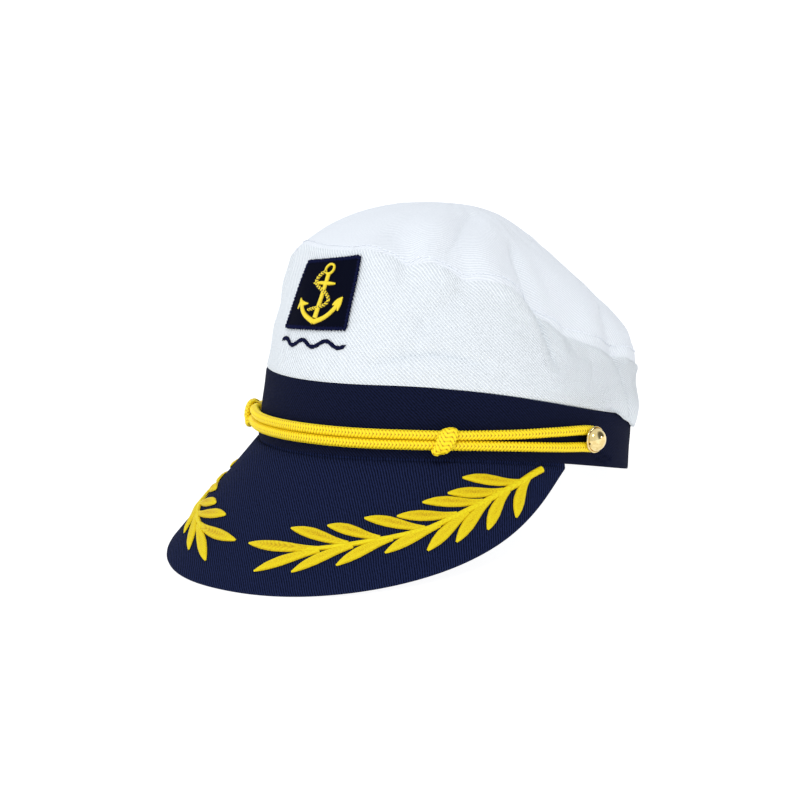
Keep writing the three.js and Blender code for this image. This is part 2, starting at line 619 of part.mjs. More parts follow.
function makeLaurel(side) {
  const flip = (p) => ({ deg: side > 0 ? p.deg : -p.deg - RIGHT_SPRAY_DEG, out: p.out });
  const shares = [0.02, 0.3, 0.65, 1];
  const leaves = LEAVES.map((leaf) =>
    ridge(
      shares.map((t) =>
        flip({
          deg: leaf.deg + (leaf.tipDeg - leaf.deg) * t,
          out:
            leaf.out +
            (leaf.tipOut - leaf.out) * t -
            (leaf.bow * LEAF_WIDTH * Math.sin(Math.PI * t)) / visorReach(leaf.deg),
        }),
      ),
      shares.map((t) => LEAF_WIDTH * Math.sin(Math.PI * (0.18 + 0.72 * t))),
      THREAD_RISE * 1.2,
    ),
  );
  const stem = ridge(
    STEM.map(flip),
    STEM.map((p, i) => STEM_WIDTH * (1 - (0.5 * i) / STEM.length)),
    THREAD_RISE,
  );
  return join([stem, ...leaves]);
}

// Looks of each material
const WHITE_CLOTH = new THREE.MeshStandardMaterial({ color: 0xebf0f5, roughness: 0.9 });
const NAVY_CLOTH = new THREE.MeshStandardMaterial({ color: 0x1b2139, roughness: 0.92 });
const GOLD_THREAD = new THREE.MeshStandardMaterial({ color: 0xdeca28, roughness: 0.6 });
const BRASS = new THREE.MeshStandardMaterial({ color: 0xd9b45a, roughness: 0.25, metalness: 1 });

// How far the hat tips back to rest on its visor's edge and the back of its rim, and the floor then
const visorEdge = visorPoint(0, 1, -VISOR_WALL);
const rimBack = bandPoint(180, 0);
const restPitch = Math.atan2(rimBack.z - visorEdge.z, rimBack.y - visorEdge.y);
const tip = new THREE.Matrix4().makeRotationX(-restPitch);
const lowest = (geometry) => new THREE.Box3().setFromBufferAttribute(geometry.clone().applyMatrix4(tip).attributes.position).min.z;
const band = makeBand();
const visor = makeVisor();
const floorLevel = Math.min(lowest(band), lowest(visor)) + REST_SINK;
const under = new THREE.BoxGeometry(4 * BAND_LENGTH, 4 * BAND_LENGTH, BAND_LENGTH);
under.translate(0, 0, floorLevel - BAND_LENGTH / 2).applyMatrix4(tip.clone().invert());

const rested = new THREE.Group();
rested.rotation.x = -restPitch;
function add(name, geometry, material) {
  const mesh = new THREE.Mesh(geometry, material.clone());
  mesh.name = name;
  geometry.computeVertexNormals();
  rested.add(mesh);
  return mesh;
}
add("band", cut(band, under), NAVY_CLOTH);
add("crown_side", crownPanel(SIDE_LEVELS, 0), WHITE_CLOTH);
add("crown_top", crownPanel(TOP_LEVELS, GAP), WHITE_CLOTH);
add("visor", cut(visor, under), NAVY_CLOTH);
add("gold_cord", makeCord(CORD_RADIUS), GOLD_THREAD);
for (const [name, side] of [["left", 1], ["right", -1]]) {
  add("cord_knot_" + name, makeKnot(side), GOLD_THREAD);
  add("laurel_" + name, makeLaurel(side), GOLD_THREAD);
  const button = add("button_" + name, makeButton(), BRASS);
  button.position.copy(bandPoint(side * BUTTON_DEG, cordHeight(BUTTON_DEG)));
  button.quaternion.setFromUnitVectors(vec(0, 1, 0), bandNormal(side * BUTTON_DEG));
}
add("badge_patch", makePatch(), NAVY_CLOTH);
add("badge_anchor", makeAnchor(), GOLD_THREAD);
add("crown_wave", makeWave(), NAVY_CLOTH);

// The middle of the footprint is the origin, and the floor is level with it
const hat = new THREE.Group();
hat.add(rested);
hat.updateMatrixWorld(true);
const size = new THREE.Box3().setFromObject(rested, true);
rested.position.set(-(size.min.x + size.max.x) / 2, -(size.min.y + size.max.y) / 2, -size.min.z);

export default hat;
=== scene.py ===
# %% [markdown]
# # A captain hat
# A soft white cap with a navy band, a cloth covered visor, a gold cord with two knots and two buttons,
# an embroidered badge and two laurel sprays. The CAD model gives every piece its place and size. This
# notebook gives each piece the form and the finish of real cloth, thread, braid and brass.

# %% The frame and the tools
import math
import bpy
import bmesh
import numpy as np
from mathutils import Matrix, Vector


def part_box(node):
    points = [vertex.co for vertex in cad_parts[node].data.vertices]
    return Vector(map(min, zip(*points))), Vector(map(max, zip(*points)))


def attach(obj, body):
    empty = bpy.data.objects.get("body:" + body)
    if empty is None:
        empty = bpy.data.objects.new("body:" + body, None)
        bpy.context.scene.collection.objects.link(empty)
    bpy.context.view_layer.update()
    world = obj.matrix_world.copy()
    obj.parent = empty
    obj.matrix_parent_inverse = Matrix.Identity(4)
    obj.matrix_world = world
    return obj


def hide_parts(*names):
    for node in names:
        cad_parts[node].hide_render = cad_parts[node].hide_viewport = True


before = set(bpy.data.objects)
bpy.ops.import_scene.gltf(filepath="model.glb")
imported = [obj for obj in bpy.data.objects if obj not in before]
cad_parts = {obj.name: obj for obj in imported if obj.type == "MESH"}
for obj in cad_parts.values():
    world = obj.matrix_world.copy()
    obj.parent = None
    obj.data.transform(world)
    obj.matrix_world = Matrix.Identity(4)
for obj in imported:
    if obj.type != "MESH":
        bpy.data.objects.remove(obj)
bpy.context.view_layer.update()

# %% [markdown]
# ## Sizes
# The hat is drawn in millimetres in the band's own frame: X to the wearer's left, Y to the back, Z up,
# with the origin at the middle of the rim. Angles run from the front towards the wearer's left. Arrays
# of angles and heights go through each function at once, which is quick and keeps the code short.

# %% Sizes and the band
RAD = math.pi / 180
BAND_LENGTH, BAND_WIDTH, BAND_WALL = 190.4, 178.4, 2.0
BAND_FRONT_HEIGHT, BAND_BACK_HEIGHT, BAND_TAPER = 34.0, 26.5, 0.01
RIM_SAG, RIM_SKEW = 2.6, 0.7
GAP = 0.3
HALF_LENGTH, HALF_WIDTH = BAND_LENGTH / 2, BAND_WIDTH / 2
DEG_PER_MM = 1 / (HALF_WIDTH * RAD)
UP = np.array([0.0, 0.0, 1.0])


def smooth(x):
    t = np.clip(x, 0, 1)
    return t * t * (3 - 2 * t)


def wrap(deg):
    return (deg + 180) % 360 - 180


def unit(v):
    return v / np.maximum(np.linalg.norm(v, axis=-1, keepdims=True), 1e-9)


def column(value):
    return np.asarray(value, float)[..., None]


def along(stations, values, deg):
    """A smooth curve through values at stations, level at both ends."""
    x, y = np.asarray(stations, float), np.asarray(values, float)
    q = np.clip(np.abs(deg), x[0], x[-1])
    wide, step = np.diff(x), np.diff(y) / np.diff(x)
    slope = np.zeros(len(x))
    slope[1:-1] = (step[:-1] * wide[1:] + step[1:] * wide[:-1]) / (wide[1:] + wide[:-1])
    i = np.clip(np.searchsorted(x, q) - 1, 0, len(x) - 2)
    t = (q - x[i]) / wide[i]
    return (
        (2 * t**3 - 3 * t**2 + 1) * y[i]
        + (t**3 - 2 * t**2 + t) * wide[i] * slope[i]
        + (3 * t**2 - 2 * t**3) * y[i + 1]
        + (t**3 - t**2) * wide[i] * slope[i + 1]
    )


def rim_height(deg):
    return -RIM_SAG * np.cos(2 * deg * RAD) - RIM_SKEW * np.cos(3 * deg * RAD)


def band_height(deg):
    drop = BAND_FRONT_HEIGHT - BAND_BACK_HEIGHT
    return BAND_FRONT_HEIGHT - drop * smooth((np.abs(wrap(deg)) - 30) / 80)


def band_normal(deg):
    deg = np.asarray(deg, float)
    return unit(np.stack([np.sin(deg * RAD) / HALF_WIDTH, -np.cos(deg * RAD) / HALF_LENGTH, 0 * deg], -1))


def band_point(deg, height, off=0.0):
    deg, height = np.broadcast_arrays(np.asarray(deg, float), np.asarray(height, float))
    k = 1 - BAND_TAPER * height / band_height(deg)
    x, y = HALF_WIDTH * k * np.sin(deg * RAD), -HALF_LENGTH * k * np.cos(deg * RAD)
    spot = np.stack([x, y, rim_height(deg) + height], -1)
    return spot + band_normal(deg) * column(np.broadcast_to(off, deg.shape))


# %% [markdown]
# ## The crown's form
# The crown is one smooth surface with a seam round it. Level 0 to 1 climbs the side panel and 1 to 2
# runs from the seam to the middle of the top. A table round the hat says how high, how far in and how
# full the cloth stands at each angle.

# %% Crown form
CROWN_FRONT_RISE, CROWN_LEAN, CROWN_BELLY, CROWN_DOME = 63.5, 10.0, 2.0, 2.4
CROWN_TOP_HEIGHT, CROWN_TOP_FORWARD, CROWN_WALL = 122.5, 7.5, 1.2
CROWN_POUCH, CROWN_DROOP, CROWN_PUFF, CROWN_HOLLOW = 2.8, 8.0, 4.0, 5.4
CROWN_DEG = [0, 22, 40, 56, 73, 90, 110, 135, 160, 180]
RISE = [1.0, 0.984, 0.906, 0.827, 0.748, 0.528, 0.472, 0.409, 0.441, 0.457]
LEAN = [1.1, 0.9, 0.7, 0.8, 1.2, 1.0, 0.55, 0.05, -0.1, -0.1]
BELLY = [1.0, 0.5, 0.0, 0.5, 1.0, 1.0, 0.75, 0.25, 0.75, 1.0]
DOME = [0.98, 0.86, 1.1, 1.04, 0.98, 0.92, 0.85, 0.78, 0.82, 0.87]


def swell(v, start, peak):
    w = np.maximum(0, v - start) / (peak - start)
    return w * np.exp(1 - w)


def crown_form(deg, level):
    deg, level = np.broadcast_arrays(np.asarray(deg, float), np.asarray(level, float))
    d = np.abs(wrap(deg))
    rise = CROWN_FRONT_RISE * along(CROWN_DEG, RISE, d)
    lean = CROWN_LEAN * along(CROWN_DEG, LEAN, d)
    out = band_normal(deg)
    foot = band_point(deg, band_height(deg)) + UP * GAP
    v = np.clip(level, 0, 1)
    back = smooth((d - 100) / 35)
    belly = CROWN_BELLY * along(CROWN_DEG, BELLY, d) * np.sin(np.pi * v**0.75)
    pouch = CROWN_POUCH * back * swell(v, 0.03, 0.2) * (1 - v**4)
    droop = CROWN_DROOP * back * swell(v, 0.03, 0.08)
    side = foot + out * column(belly + pouch - lean * v) + UP * column(rise * v - droop)
    u = np.clip(level - 1, 0, 1)
    seam = foot - out * column(lean) + UP * column(rise)
    centre = np.array([0, -CROWN_TOP_FORWARD, CROWN_TOP_HEIGHT])
    dome = along(CROWN_DEG, DOME, d)
    climb = 1 - (1 - u) ** (CROWN_DOME * (dome + (0.94 - dome) * smooth(u * 1.3)))
    puff = CROWN_PUFF * smooth((d - 75) / 45) * swell(u, 0, 0.14) * (1 - u)
    hollow = CROWN_HOLLOW * smooth((d - 75) / 45) * np.sin(np.pi * u) ** 3
    top = seam + (centre - seam) * np.stack([u, u, climb], -1)
    top = top + out * column(0.8 * puff) + UP * column(puff - hollow)
    return np.where(column(level <= 1), side, top)


def normal_of(form, a, b, da, db):
    return unit(np.cross(form(a + da, b) - form(a - da, b), form(a, b + db) - form(a, b - db)))


# %% [markdown]
# ## Folds in the cloth
# Soft cotton gathers where the seam is tight. Each fold is a line of places on the crown, with a depth
# and a width: a valley with a low swell on each side, deepest in the middle of its run. Where the folds
# pinch the seam it is pulled down, and between them it stands up. Each row of the table gives the depth
# and width in mm, how sharp the crease is, and the fold's path as angle and level. The seam's own pulls
# and rises have an angle, a depth in mm and a width in degrees, and the waves a count round the hat, a
# run up the cloth in mm and a shift.

# %% Folds
FOLDS = [
    (2.5, 3.6, 0.6, [(22, 0.13), (31.5, 0.22), (36.5, 0.25), (44, 0.28), (51, 0.28), (58, 0.24)]),
    (1.3, 4.6, 0.2, [(31, 1.02), (33.5, 0.87), (36, 0.75), (38, 0.63), (37, 0.44), (34, 0.3)]),
    (1.4, 5.2, 0.2, [(50, 1.02), (47.5, 0.78), (43.5, 0.63), (39.5, 0.53), (37, 0.42)]),
    (4.5, 5.4, 0.55, [(92, 1.5), (82.5, 1.4), (77.5, 1.27), (76.5, 1.17), (77, 1.07), (78, 0.98),
                      (79.5, 0.88), (81.5, 0.7), (83, 0.5)]),
    (3.4, 5.2, 0.5, [(132, 1.35), (126, 1.23), (117, 1.14), (114, 1.07), (115, 1.0), (117, 0.8),
                     (119, 0.4), (123, 0.16)]),
    (1.4, 6.0, 0.1, [(12, 1.3), (23, 1.14), (29, 1.02)]),
    (3.1, 6.0, 0.2, [(62, 1.7), (54, 1.53), (50.5, 1.36), (47.5, 1.22), (44.5, 1.11), (43.5, 1.02)]),
    (1.8, 5.5, 0.3, [(91, 1.35), (89.5, 1.18), (88.5, 1.08), (90, 1.0), (94, 0.75)]),
    (1.2, 5.0, 0.3, [(97, 0.98), (100, 0.7), (99, 0.4)]),
    (1.6, 5.0, 0.3, [(150, 1.35), (153, 1.0), (157, 0.55), (158, 0.2)]),
    (1.4, 4.6, 0.3, [(-30, 1.03), (-34, 0.8), (-37, 0.5)]),
    (1.7, 5.0, 0.3, [(-66, 1.4), (-73, 1.05), (-79, 0.6), (-81, 0.35)]),
    (1.3, 4.6, 0.3, [(-52, 1.0), (-47, 0.7), (-40, 0.5)]),
    (1.7, 5.0, 0.3, [(-104, 1.3), (-102, 1.0), (-98, 0.6), (-97, 0.25)]),
    (1.8, 5.2, 0.3, [(-140, 1.3), (-142, 1.0), (-147, 0.6), (-151, 0.2)]),
    (1.3, 7.0, 0.1, [(172, 1.4), (176, 1.15), (178, 0.95)]),
]
SEAM_PULLS = [(31, 3.2, 3.6), (50, 2.8, 4.2), (79, 2.2, 6.0), (115, 1.2, 6.0), (-34, 2.4, 5.0),
              (-73, 2.6, 6.0), (-103, 1.8, 6.0), (-141, 1.6, 7.0), (152, 1.5, 7.0), (180, 1.2, 7.0)]
SEAM_RISES = [(41, 1.4, 5.0), (66, 1.3, 7.0), (15, 1.3, 7.0), (-22, 1.2, 6.0), (-55, 1.4, 7.0)]
CLOTH_WAVES = [(10, 43, 0.4), (-17, 37, 2.1), (7, -23, 4.4), (24, 29, 1.3), (-8, 17, 5.2)]
CLOTH_WAVE_DEPTH, PUCKER_DEPTH, FADE_IN, SIDE_CLOTH = 0.13, 0.22, 14.0, 50.0


def flat_place(deg, level):
    """A rough flat map of the crown in millimetres, to measure how far a place is from a fold."""
    round_way = deg * RAD * HALF_LENGTH * np.where(level > 1, 2 - level, 1.0)
    return np.stack([round_way, level * 0.8 * CROWN_FRONT_RISE], -1)


def fold_depth(deg, level):
    deg, level = np.broadcast_arrays(np.asarray(deg, float), np.asarray(level, float))
    total = np.zeros(deg.shape)
    for depth, width, crisp, path in FOLDS:
        marks = np.array(path, float)
        here = flat_place(marks[0, 0] + wrap(deg - marks[0, 0]), level)
        spots = flat_place(marks[:, 0], marks[:, 1])
        lengths = np.linalg.norm(np.diff(spots, axis=0), axis=1)
        starts = np.concatenate([[0], np.cumsum(lengths)])
        far, run = np.full(deg.shape, 1e9), np.zeros(deg.shape)
        for k, length in enumerate(lengths):
            line = (spots[k + 1] - spots[k]) / length
            t = np.clip((here - spots[k]) @ line, 0, length)
            gap = np.linalg.norm(here - spots[k] - column(t) * line, axis=-1)
            nearer = gap < far
            far, run = np.where(nearer, gap, far), np.where(nearer, starts[k] + t, run)
        share = run / starts[-1]
        hold = 0.25 + 0.75 * np.sin(np.pi * (0.08 + 0.84 * share)) ** 0.8
        if marks[0, 1] > 1.2:
            hold = hold * smooth(run / FADE_IN)
        crease = np.exp(-((far / (0.3 * width)) ** 2))
        valley = (1 - crisp) * np.exp(-((far / width) ** 2)) + crisp * crease
        valley -= 0.42 * (1 - 0.6 * crisp) * np.exp(-(((far - 1.7 * width) / width) ** 2))
        total += depth * hold * valley
    edge = smooth(level / 0.1) * smooth((1.9 - level) / 0.3)
    return total * edge


def seam_sag(deg, level):
    """How far the cloth is pulled down round the seam by its folds."""
    sag = 0
    for table, sign, below in ((SEAM_PULLS, 1, 0.2), (SEAM_RISES, -1, 0.07)):
        near = np.exp(-(((level - 1) / np.where(level > 1, 0.13, below)) ** 2))
        for at, deep, wide in table:
            sag = sag + sign * deep * np.exp(-((wrap(deg - at) / wide) ** 2)) * near
    return sag


def rumple(deg, level):
    """Low uneven waves all over the cloth, and short puckers beside the seam."""
    a, b = deg * RAD, level * SIDE_CLOTH
    waves = 0
    for k, (turns, run_b, shift) in enumerate(CLOTH_WAVES):
        waves = waves + np.sin(turns * a + 2 * np.pi * b / (run_b * 1.7) + shift + 0.7 * np.sin(3 * a + k))
    puckers = np.sin(83 * a + 1.7 * np.sin(10 * a)) * (0.6 + 0.4 * np.sin(18 * a))
    near = np.exp(-np.abs(level - 1) * SIDE_CLOTH / 3.5)
    fade = smooth(level / 0.2) * smooth((1.95 - level) / 0.3)
    return CLOTH_WAVE_DEPTH * waves * fade + PUCKER_DEPTH * puckers * near


def crown_cloth(deg, level):
    """The crown's outer surface with its folds."""
    deg, level = np.broadcast_arrays(np.asarray(deg, float), np.asarray(level, float))
    probe = np.where(level > 1, np.clip(level, 1.004, 1.9), np.clip(level, 0.004, 0.996))
    out = normal_of(crown_form, deg, probe, 0.5, 0.003)
    sunk = crown_form(deg, level) + out * column(rumple(deg, level) - fold_depth(deg, level))
    return sunk - UP * column(seam_sag(deg, level))


# %% [markdown]
# ## The visor's form
# The visor is a stiff crescent. It falls steeply from the band, a little less so at its middle, and
# tapers to nothing beside the ears.

# %% Visor form
VISOR_LENGTH, VISOR_WALL, VISOR_END = 78.6, 2.6, 88.0
VISOR_SLOPE, VISOR_SLOPE_GAIN, VISOR_SLOPE_BEND = 57.6, 42.0, -14.6
VISOR_FAN, VISOR_ROUND, VISOR_TAPER = 0.882, 3.02, 1.255


def visor_reach(deg):
    return VISOR_LENGTH * (1 - (np.abs(deg) / 90) ** VISOR_ROUND) ** VISOR_TAPER


def visor_form(deg, out):
    deg, out = np.broadcast_arrays(np.asarray(deg, float), np.asarray(out, float))
    run = visor_reach(deg) * out
    gain, bend = 1 - np.cos(deg * RAD), 1 - np.cos(2 * deg * RAD)
    slope = VISOR_SLOPE + VISOR_SLOPE_GAIN * gain + VISOR_SLOPE_BEND * bend
    turn, flat = VISOR_FAN * deg * RAD, np.cos(slope * RAD) * run
    fall = -np.sin(slope * RAD) * run - 1.3 * GAP
    return band_point(deg, 0, -GAP) + np.stack([flat * np.sin(turn), -flat * np.cos(turn), fall], -1)


def visor_normal(deg, out):
    probe = np.clip(deg, 1 - VISOR_END, VISOR_END - 1)
    normal = normal_of(visor_form, probe, np.maximum(out, 0.1), 0.5, 0.02)
    return normal * np.sign(normal[..., 2:])


def visor_point(deg, out, off=0.0):
    return visor_form(deg, out) + visor_normal(deg, out) * column(off)


# %% [markdown]
# ## How the hat rests
# On a table the hat tips back until it stands on the visor's edge and the back of its rim. The tip is
# worked out from those two places. The shift comes from the CAD band, which stands where it should.

# %% Rest
edge, heel = visor_point(np.array(0.0), np.array(1.0), -VISOR_WALL), band_point(180.0, 0.0)
PITCH = math.atan2(heel[2] - edge[2], heel[1] - edge[1])


def tipped(p):
    c, s = math.cos(PITCH), math.sin(PITCH)
    return np.stack([p[..., 0], p[..., 1] * c + p[..., 2] * s, p[..., 2] * c - p[..., 1] * s], -1)


ring = np.arange(64) * 360 / 64
band_top = tipped(np.concatenate([band_point(ring, 0 * ring), band_point(ring, band_height(ring))]))
high = np.array(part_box("band")[1]) * 1000
SHIFT = np.array([0, high[1] - band_top[:, 1].max(), high[2] - band_top[:, 2].max()])


def placed(p):
    """From the band's frame in millimetres to the model's frame in metres."""
    return (tipped(p) + SHIFT) / 1000


print("tipped back by", round(PITCH / RAD, 2), "degrees, moved by", SHIFT.round(3), "mm")

# %% [markdown]
# ## The camera
# It stands at the photograph's angle to the hat, a little above it, with a long lens. Making it first
# lets every later piece be looked at as the photograph shows it.

# %% Camera
azimuth, lift, roll, far, shift_right, shift_up = 47.35 * RAD, 2.48 * RAD, 5.39 * RAD, 1818.5, -24.03, 22.82
towards = np.array([math.sin(azimuth) * math.cos(lift), -math.cos(azimuth) * math.cos(lift), math.sin(lift)])
side_on = unit(np.cross(-towards, UP))
upright = np.cross(side_on, -towards)
right = math.cos(roll) * side_on + math.sin(roll) * upright
above = -math.sin(roll) * side_on + math.cos(roll) * upright
stand = placed(towards * far + side_on * shift_right + upright * shift_up)
axes = np.stack([tipped(right), tipped(above), tipped(towards)], 1)
camera = bpy.data.objects.new("camera", bpy.data.cameras.new("camera"))
camera.data.sensor_width, camera.data.lens = 36.0, 36.0 * 3646.3 / 800
camera.data.clip_start, camera.data.clip_end = 0.1, 60
camera.matrix_world = Matrix.Translation(stand.tolist()) @ Matrix(axes.tolist()).to_4x4()
bpy.context.scene.collection.objects.link(camera)
bpy.context.scene.camera = camera
print("camera at", stand.round(3), "m, lens", round(camera.data.lens, 1), "mm")

# %% [markdown]
# ## Making meshes from grids
# Almost every piece here is a grid of points: round the hat and up it, or along a thread and across it.
# One function turns grids into a mesh with a UV map in millimetres of real cloth, so that a weave can be
# drawn at its true size. A number at each point says how deep it lies between threads, and the thread
# materials turn it into painted shade: the deeper, the darker.

# %% Meshes
def grid_faces(rows, cols, closed):
    """Quads over a grid, and the same quads in a UV grid that has one more column where it closes."""
    r, c = np.meshgrid(np.arange(rows - 1), np.arange(cols if closed else cols - 1), indexing="ij")
    n, wide = (c + 1) % cols, cols + 1 if closed else cols
    quads = np.stack([r * cols + c, r * cols + n, (r + 1) * cols + n, (r + 1) * cols + c], -1)
    marks = np.stack([r * wide + c, r * wide + c + 1, (r + 1) * wide + c + 1, (r + 1) * wide + c], -1)
    return quads.reshape(-1, 4), marks.reshape(-1, 4)


def patch_of(points, cloth, closed=False, painted_shade=None, turned=False):
    """One grid as a list of points, quads, UV corners and the painted shade at each point."""
    rows, cols = points.shape[:2]
    quads, marks = grid_faces(rows, cols, closed)
    if turned:
        quads, marks = quads[:, ::-1], marks[:, ::-1]
    painted_shades = np.zeros(rows * cols) if painted_shade is None else np.asarray(painted_shade, float).reshape(-1)
    return points.reshape(-1, 3), quads, cloth.reshape(-1, 2)[marks], painted_shades


def make_piece(name, patches, material, stands_for=(), weld=True, sharp=35):
    points, quads, corners, painted_shades, count = [], [], [], [], 0
    for spots, faces, marks, painted_shade in patches:
        points.append(spots)
        quads.append(faces + count)
        corners.append(marks)
        painted_shades.append(painted_shade)
        count += len(spots)
    points = placed(np.concatenate(points))
    points[:, 2] = np.maximum(points[:, 2], 0)
    mesh = bpy.data.meshes.new(name)
    mesh.from_pydata(points.tolist(), [], np.concatenate(quads).tolist())
    cloth = mesh.uv_layers.new(name="cloth")
    cloth.data.foreach_set("uv", np.concatenate(corners).reshape(-1).astype(np.float32))
    # The painted shade of each point is stored for the thread materials.
    depth = mesh.attributes.new("painted_shade", "FLOAT", "POINT")
    depth.data.foreach_set("value", np.concatenate(painted_shades).astype(np.float32))
    if weld:
        work = bmesh.new()
        work.from_mesh(mesh)
        bmesh.ops.remove_doubles(work, verts=work.verts, dist=2e-6)
        bmesh.ops.recalc_face_normals(work, faces=work.faces)
        work.to_mesh(mesh)
        work.free()
    mesh.polygons.foreach_set("use_smooth", [True] * len(mesh.polygons))
    mesh.set_sharp_from_angle(angle=sharp * RAD)
    mesh.materials.append(material)
    piece = bpy.data.objects.new(name, mesh)
    bpy.context.scene.collection.objects.link(piece)
    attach(piece, "root")
    for node_name in stands_for:
        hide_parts(node_name)
    print(name, "has", len(mesh.vertices), "points and", len(mesh.polygons), "faces")
    return piece


def edges_between(a, b, cloth_a, cloth_b, closed, turned=False):
    """A strip that joins two rows of points."""
    return patch_of(np.stack([a, b]), np.stack([cloth_a, cloth_b]), closed, turned=turned)


# %% [markdown]
# ## Materials
# Each material starts from the real one. Its colours are sRGB hex values that one function turns to
# linear, and one small function adds a node with its settings and links.

# %% Material helpers
def linear(code):
    parts = [int(code[i : i + 2], 16) / 255 for i in (0, 2, 4)]
    return (*[v / 12.92 if v <= 0.04045 else ((v + 0.055) / 1.055) ** 2.4 for v in parts], 1.0)


def add(tree, kind, inputs=None, **settings):
    """Adds one node. Inputs are values, or sockets of other nodes to link from."""
    made = tree.nodes.new("ShaderNode" + kind)
    for key, value in settings.items():
        setattr(made, key, value)
    for key, value in (inputs or {}).items():
        if isinstance(value, bpy.types.NodeSocket):
            tree.links.new(value, made.inputs[key])
        else:
            made.inputs[key].default_value = value
    return made


def new_material(name):
    material = bpy.data.materials.new(name)
    material.use_nodes = True
    tree = material.node_tree
    tree.nodes.clear()
    return material, tree


def finish(tree, surface, **sockets):
    shader = add(tree, "BsdfPrincipled", {key.replace("_", " "): value for key, value in sockets.items()})
    for key, value in surface.items():
        tree.links.new(value, shader.inputs[key])
    add(tree, "OutputMaterial", {"Surface": shader.outputs[0]})


def ramp(tree, factor, stops):
    made = add(tree, "ValToRGB", {"Fac": factor})
    colours = made.color_ramp.elements
    while len(colours) < len(stops):
        colours.new(0.5)
    for element, (at, code) in zip(colours, stops):
        element.position, element.color = at, linear(code)
    return made.outputs["Color"]


# %% [markdown]
# ### Cotton twill
# The crown, band and visor are cotton twill, woven so that fine ridges run slantwise across the cloth.
# The ridges in the photograph stand about 1.5 mm apart on the crown and 1.2 mm on the navy cloth, which
# is coarse enough to draw at true size. A sine across the ridges gives them, a second one cuts each ridge
# into yarns, and noise in two sizes makes the yarns uneven as spun cotton is. The colour is painted
# darker in the low places of this relief, which is painted shade, and the noise also gives an uneven
# tone. Cotton is matt: its roughness is about 0.9, and on the white cloth a thin sheen stands for the
# fibres that stick up from it.

# %% Twill
COTTON_ROUGHNESS, YARN_TO_RIDGE, WOBBLE = 0.9, 0.85, 0.8


def twill(name, lines, angle, dark, light, height, shade_spread=0.85, grain=2.4, gloss=0.08, sheen=0.02, yarns=0.35):
    """lines is the spacing of the ridges in mm, angle turns them, and height is their relief in mm."""
    material, tree = new_material(name)
    cloth = add(tree, "UVMap", uv_map="cloth").outputs[0]
    turn = (0, 0, angle * RAD)
    turned = add(tree, "Mapping", {"Vector": cloth, "Rotation": turn}, vector_type="POINT").outputs[0]
    wobble = add(tree, "TexNoise", {"Vector": cloth, "Scale": 0.12, "Detail": 1.0}).outputs["Fac"]
    axes = add(tree, "SeparateXYZ", {"Vector": turned})
    across = add(tree, "Math", {0: wobble, 1: WOBBLE, 2: axes.outputs["X"]}, operation="MULTIPLY_ADD").outputs[0]
    phase = add(tree, "Math", {0: across, 1: 2 * math.pi / lines}, operation="MULTIPLY").outputs[0]
    ridge = add(tree, "Math", {0: phase}, operation="SINE").outputs[0]
    lean = add(tree, "Math", {0: across, 1: 0.9, 2: axes.outputs["Y"]}, operation="MULTIPLY_ADD").outputs[0]
    beat = add(tree, "Math", {0: lean, 1: 2 * math.pi / (lines * YARN_TO_RIDGE)}, operation="MULTIPLY").outputs[0]
    yarn = add(tree, "Math", {0: beat}, operation="SINE").outputs[0]
    weave = add(tree, "Math", {0: yarn, 1: yarns, 2: ridge}, operation="MULTIPLY_ADD").outputs[0]
    fibres = {"Vector": cloth, "Scale": 0.9, "Detail": 3.0, "Roughness": 0.65}
    fine = add(tree, "TexNoise", fibres).outputs["Fac"]
    uneven = add(tree, "Math", {0: fine, 1: 0.5}, operation="SUBTRACT").outputs[0]
    relief = add(tree, "Math", {0: uneven, 1: grain, 2: weave}, operation="MULTIPLY_ADD").outputs[0]
    # Painted shade: the low places of the weave take the dark colour; the spread sets how far the two colours
    # blend.
    shade = add(tree, "MapRange", {"Value": relief, "From Min": -1.5, "From Max": 1.5}).outputs[0]
    mixed = ramp(tree, shade, [(0.5 - shade_spread / 2, dark), (0.5 + shade_spread / 2, light)])
    bump = add(tree, "Bump", {"Height": relief, "Distance": height / 1000, "Strength": 1.0}).outputs[0]
    finish(tree, {"Base Color": mixed, "Normal": bump}, Roughness=COTTON_ROUGHNESS, Specular_IOR_Level=gloss,
           Sheen_Weight=sheen, Sheen_Roughness=0.4)
    return material


white_side = twill("white_cotton_twill_side", 1.5, -48, "d4dae0", "f2f7f9", 0.15, yarns=0.08)
white_top = twill("white_cotton_twill_top", 1.5, 38, "dce1e7", "eff3f7", 0.09, yarns=0.08)
navy_band = twill("navy_cotton_twill_band", 1.2, -48, "060916", "181e3c", 0.1,
                  shade_spread=0.95, grain=3.6, gloss=0.05, sheen=0.0)
navy_visor = twill("navy_cotton_twill_visor", 1.25, 50, "060918", "222b50", 0.12,
                   shade_spread=0.7, grain=3.0, gloss=0.03, sheen=0.0)
print("twill materials:", 4)

# %% [markdown]
# ### Thread, braid and brass
# Embroidery and braid are bright rayon thread: smooth strands that shine along their length, so they
# are glossier than cotton. The mesh itself carries the strands. The number that it stores paints shade
# into the gaps between them, so the gaps are darker in colour. The buttons are stamped brass with a
# bright gold finish, which is a metal.

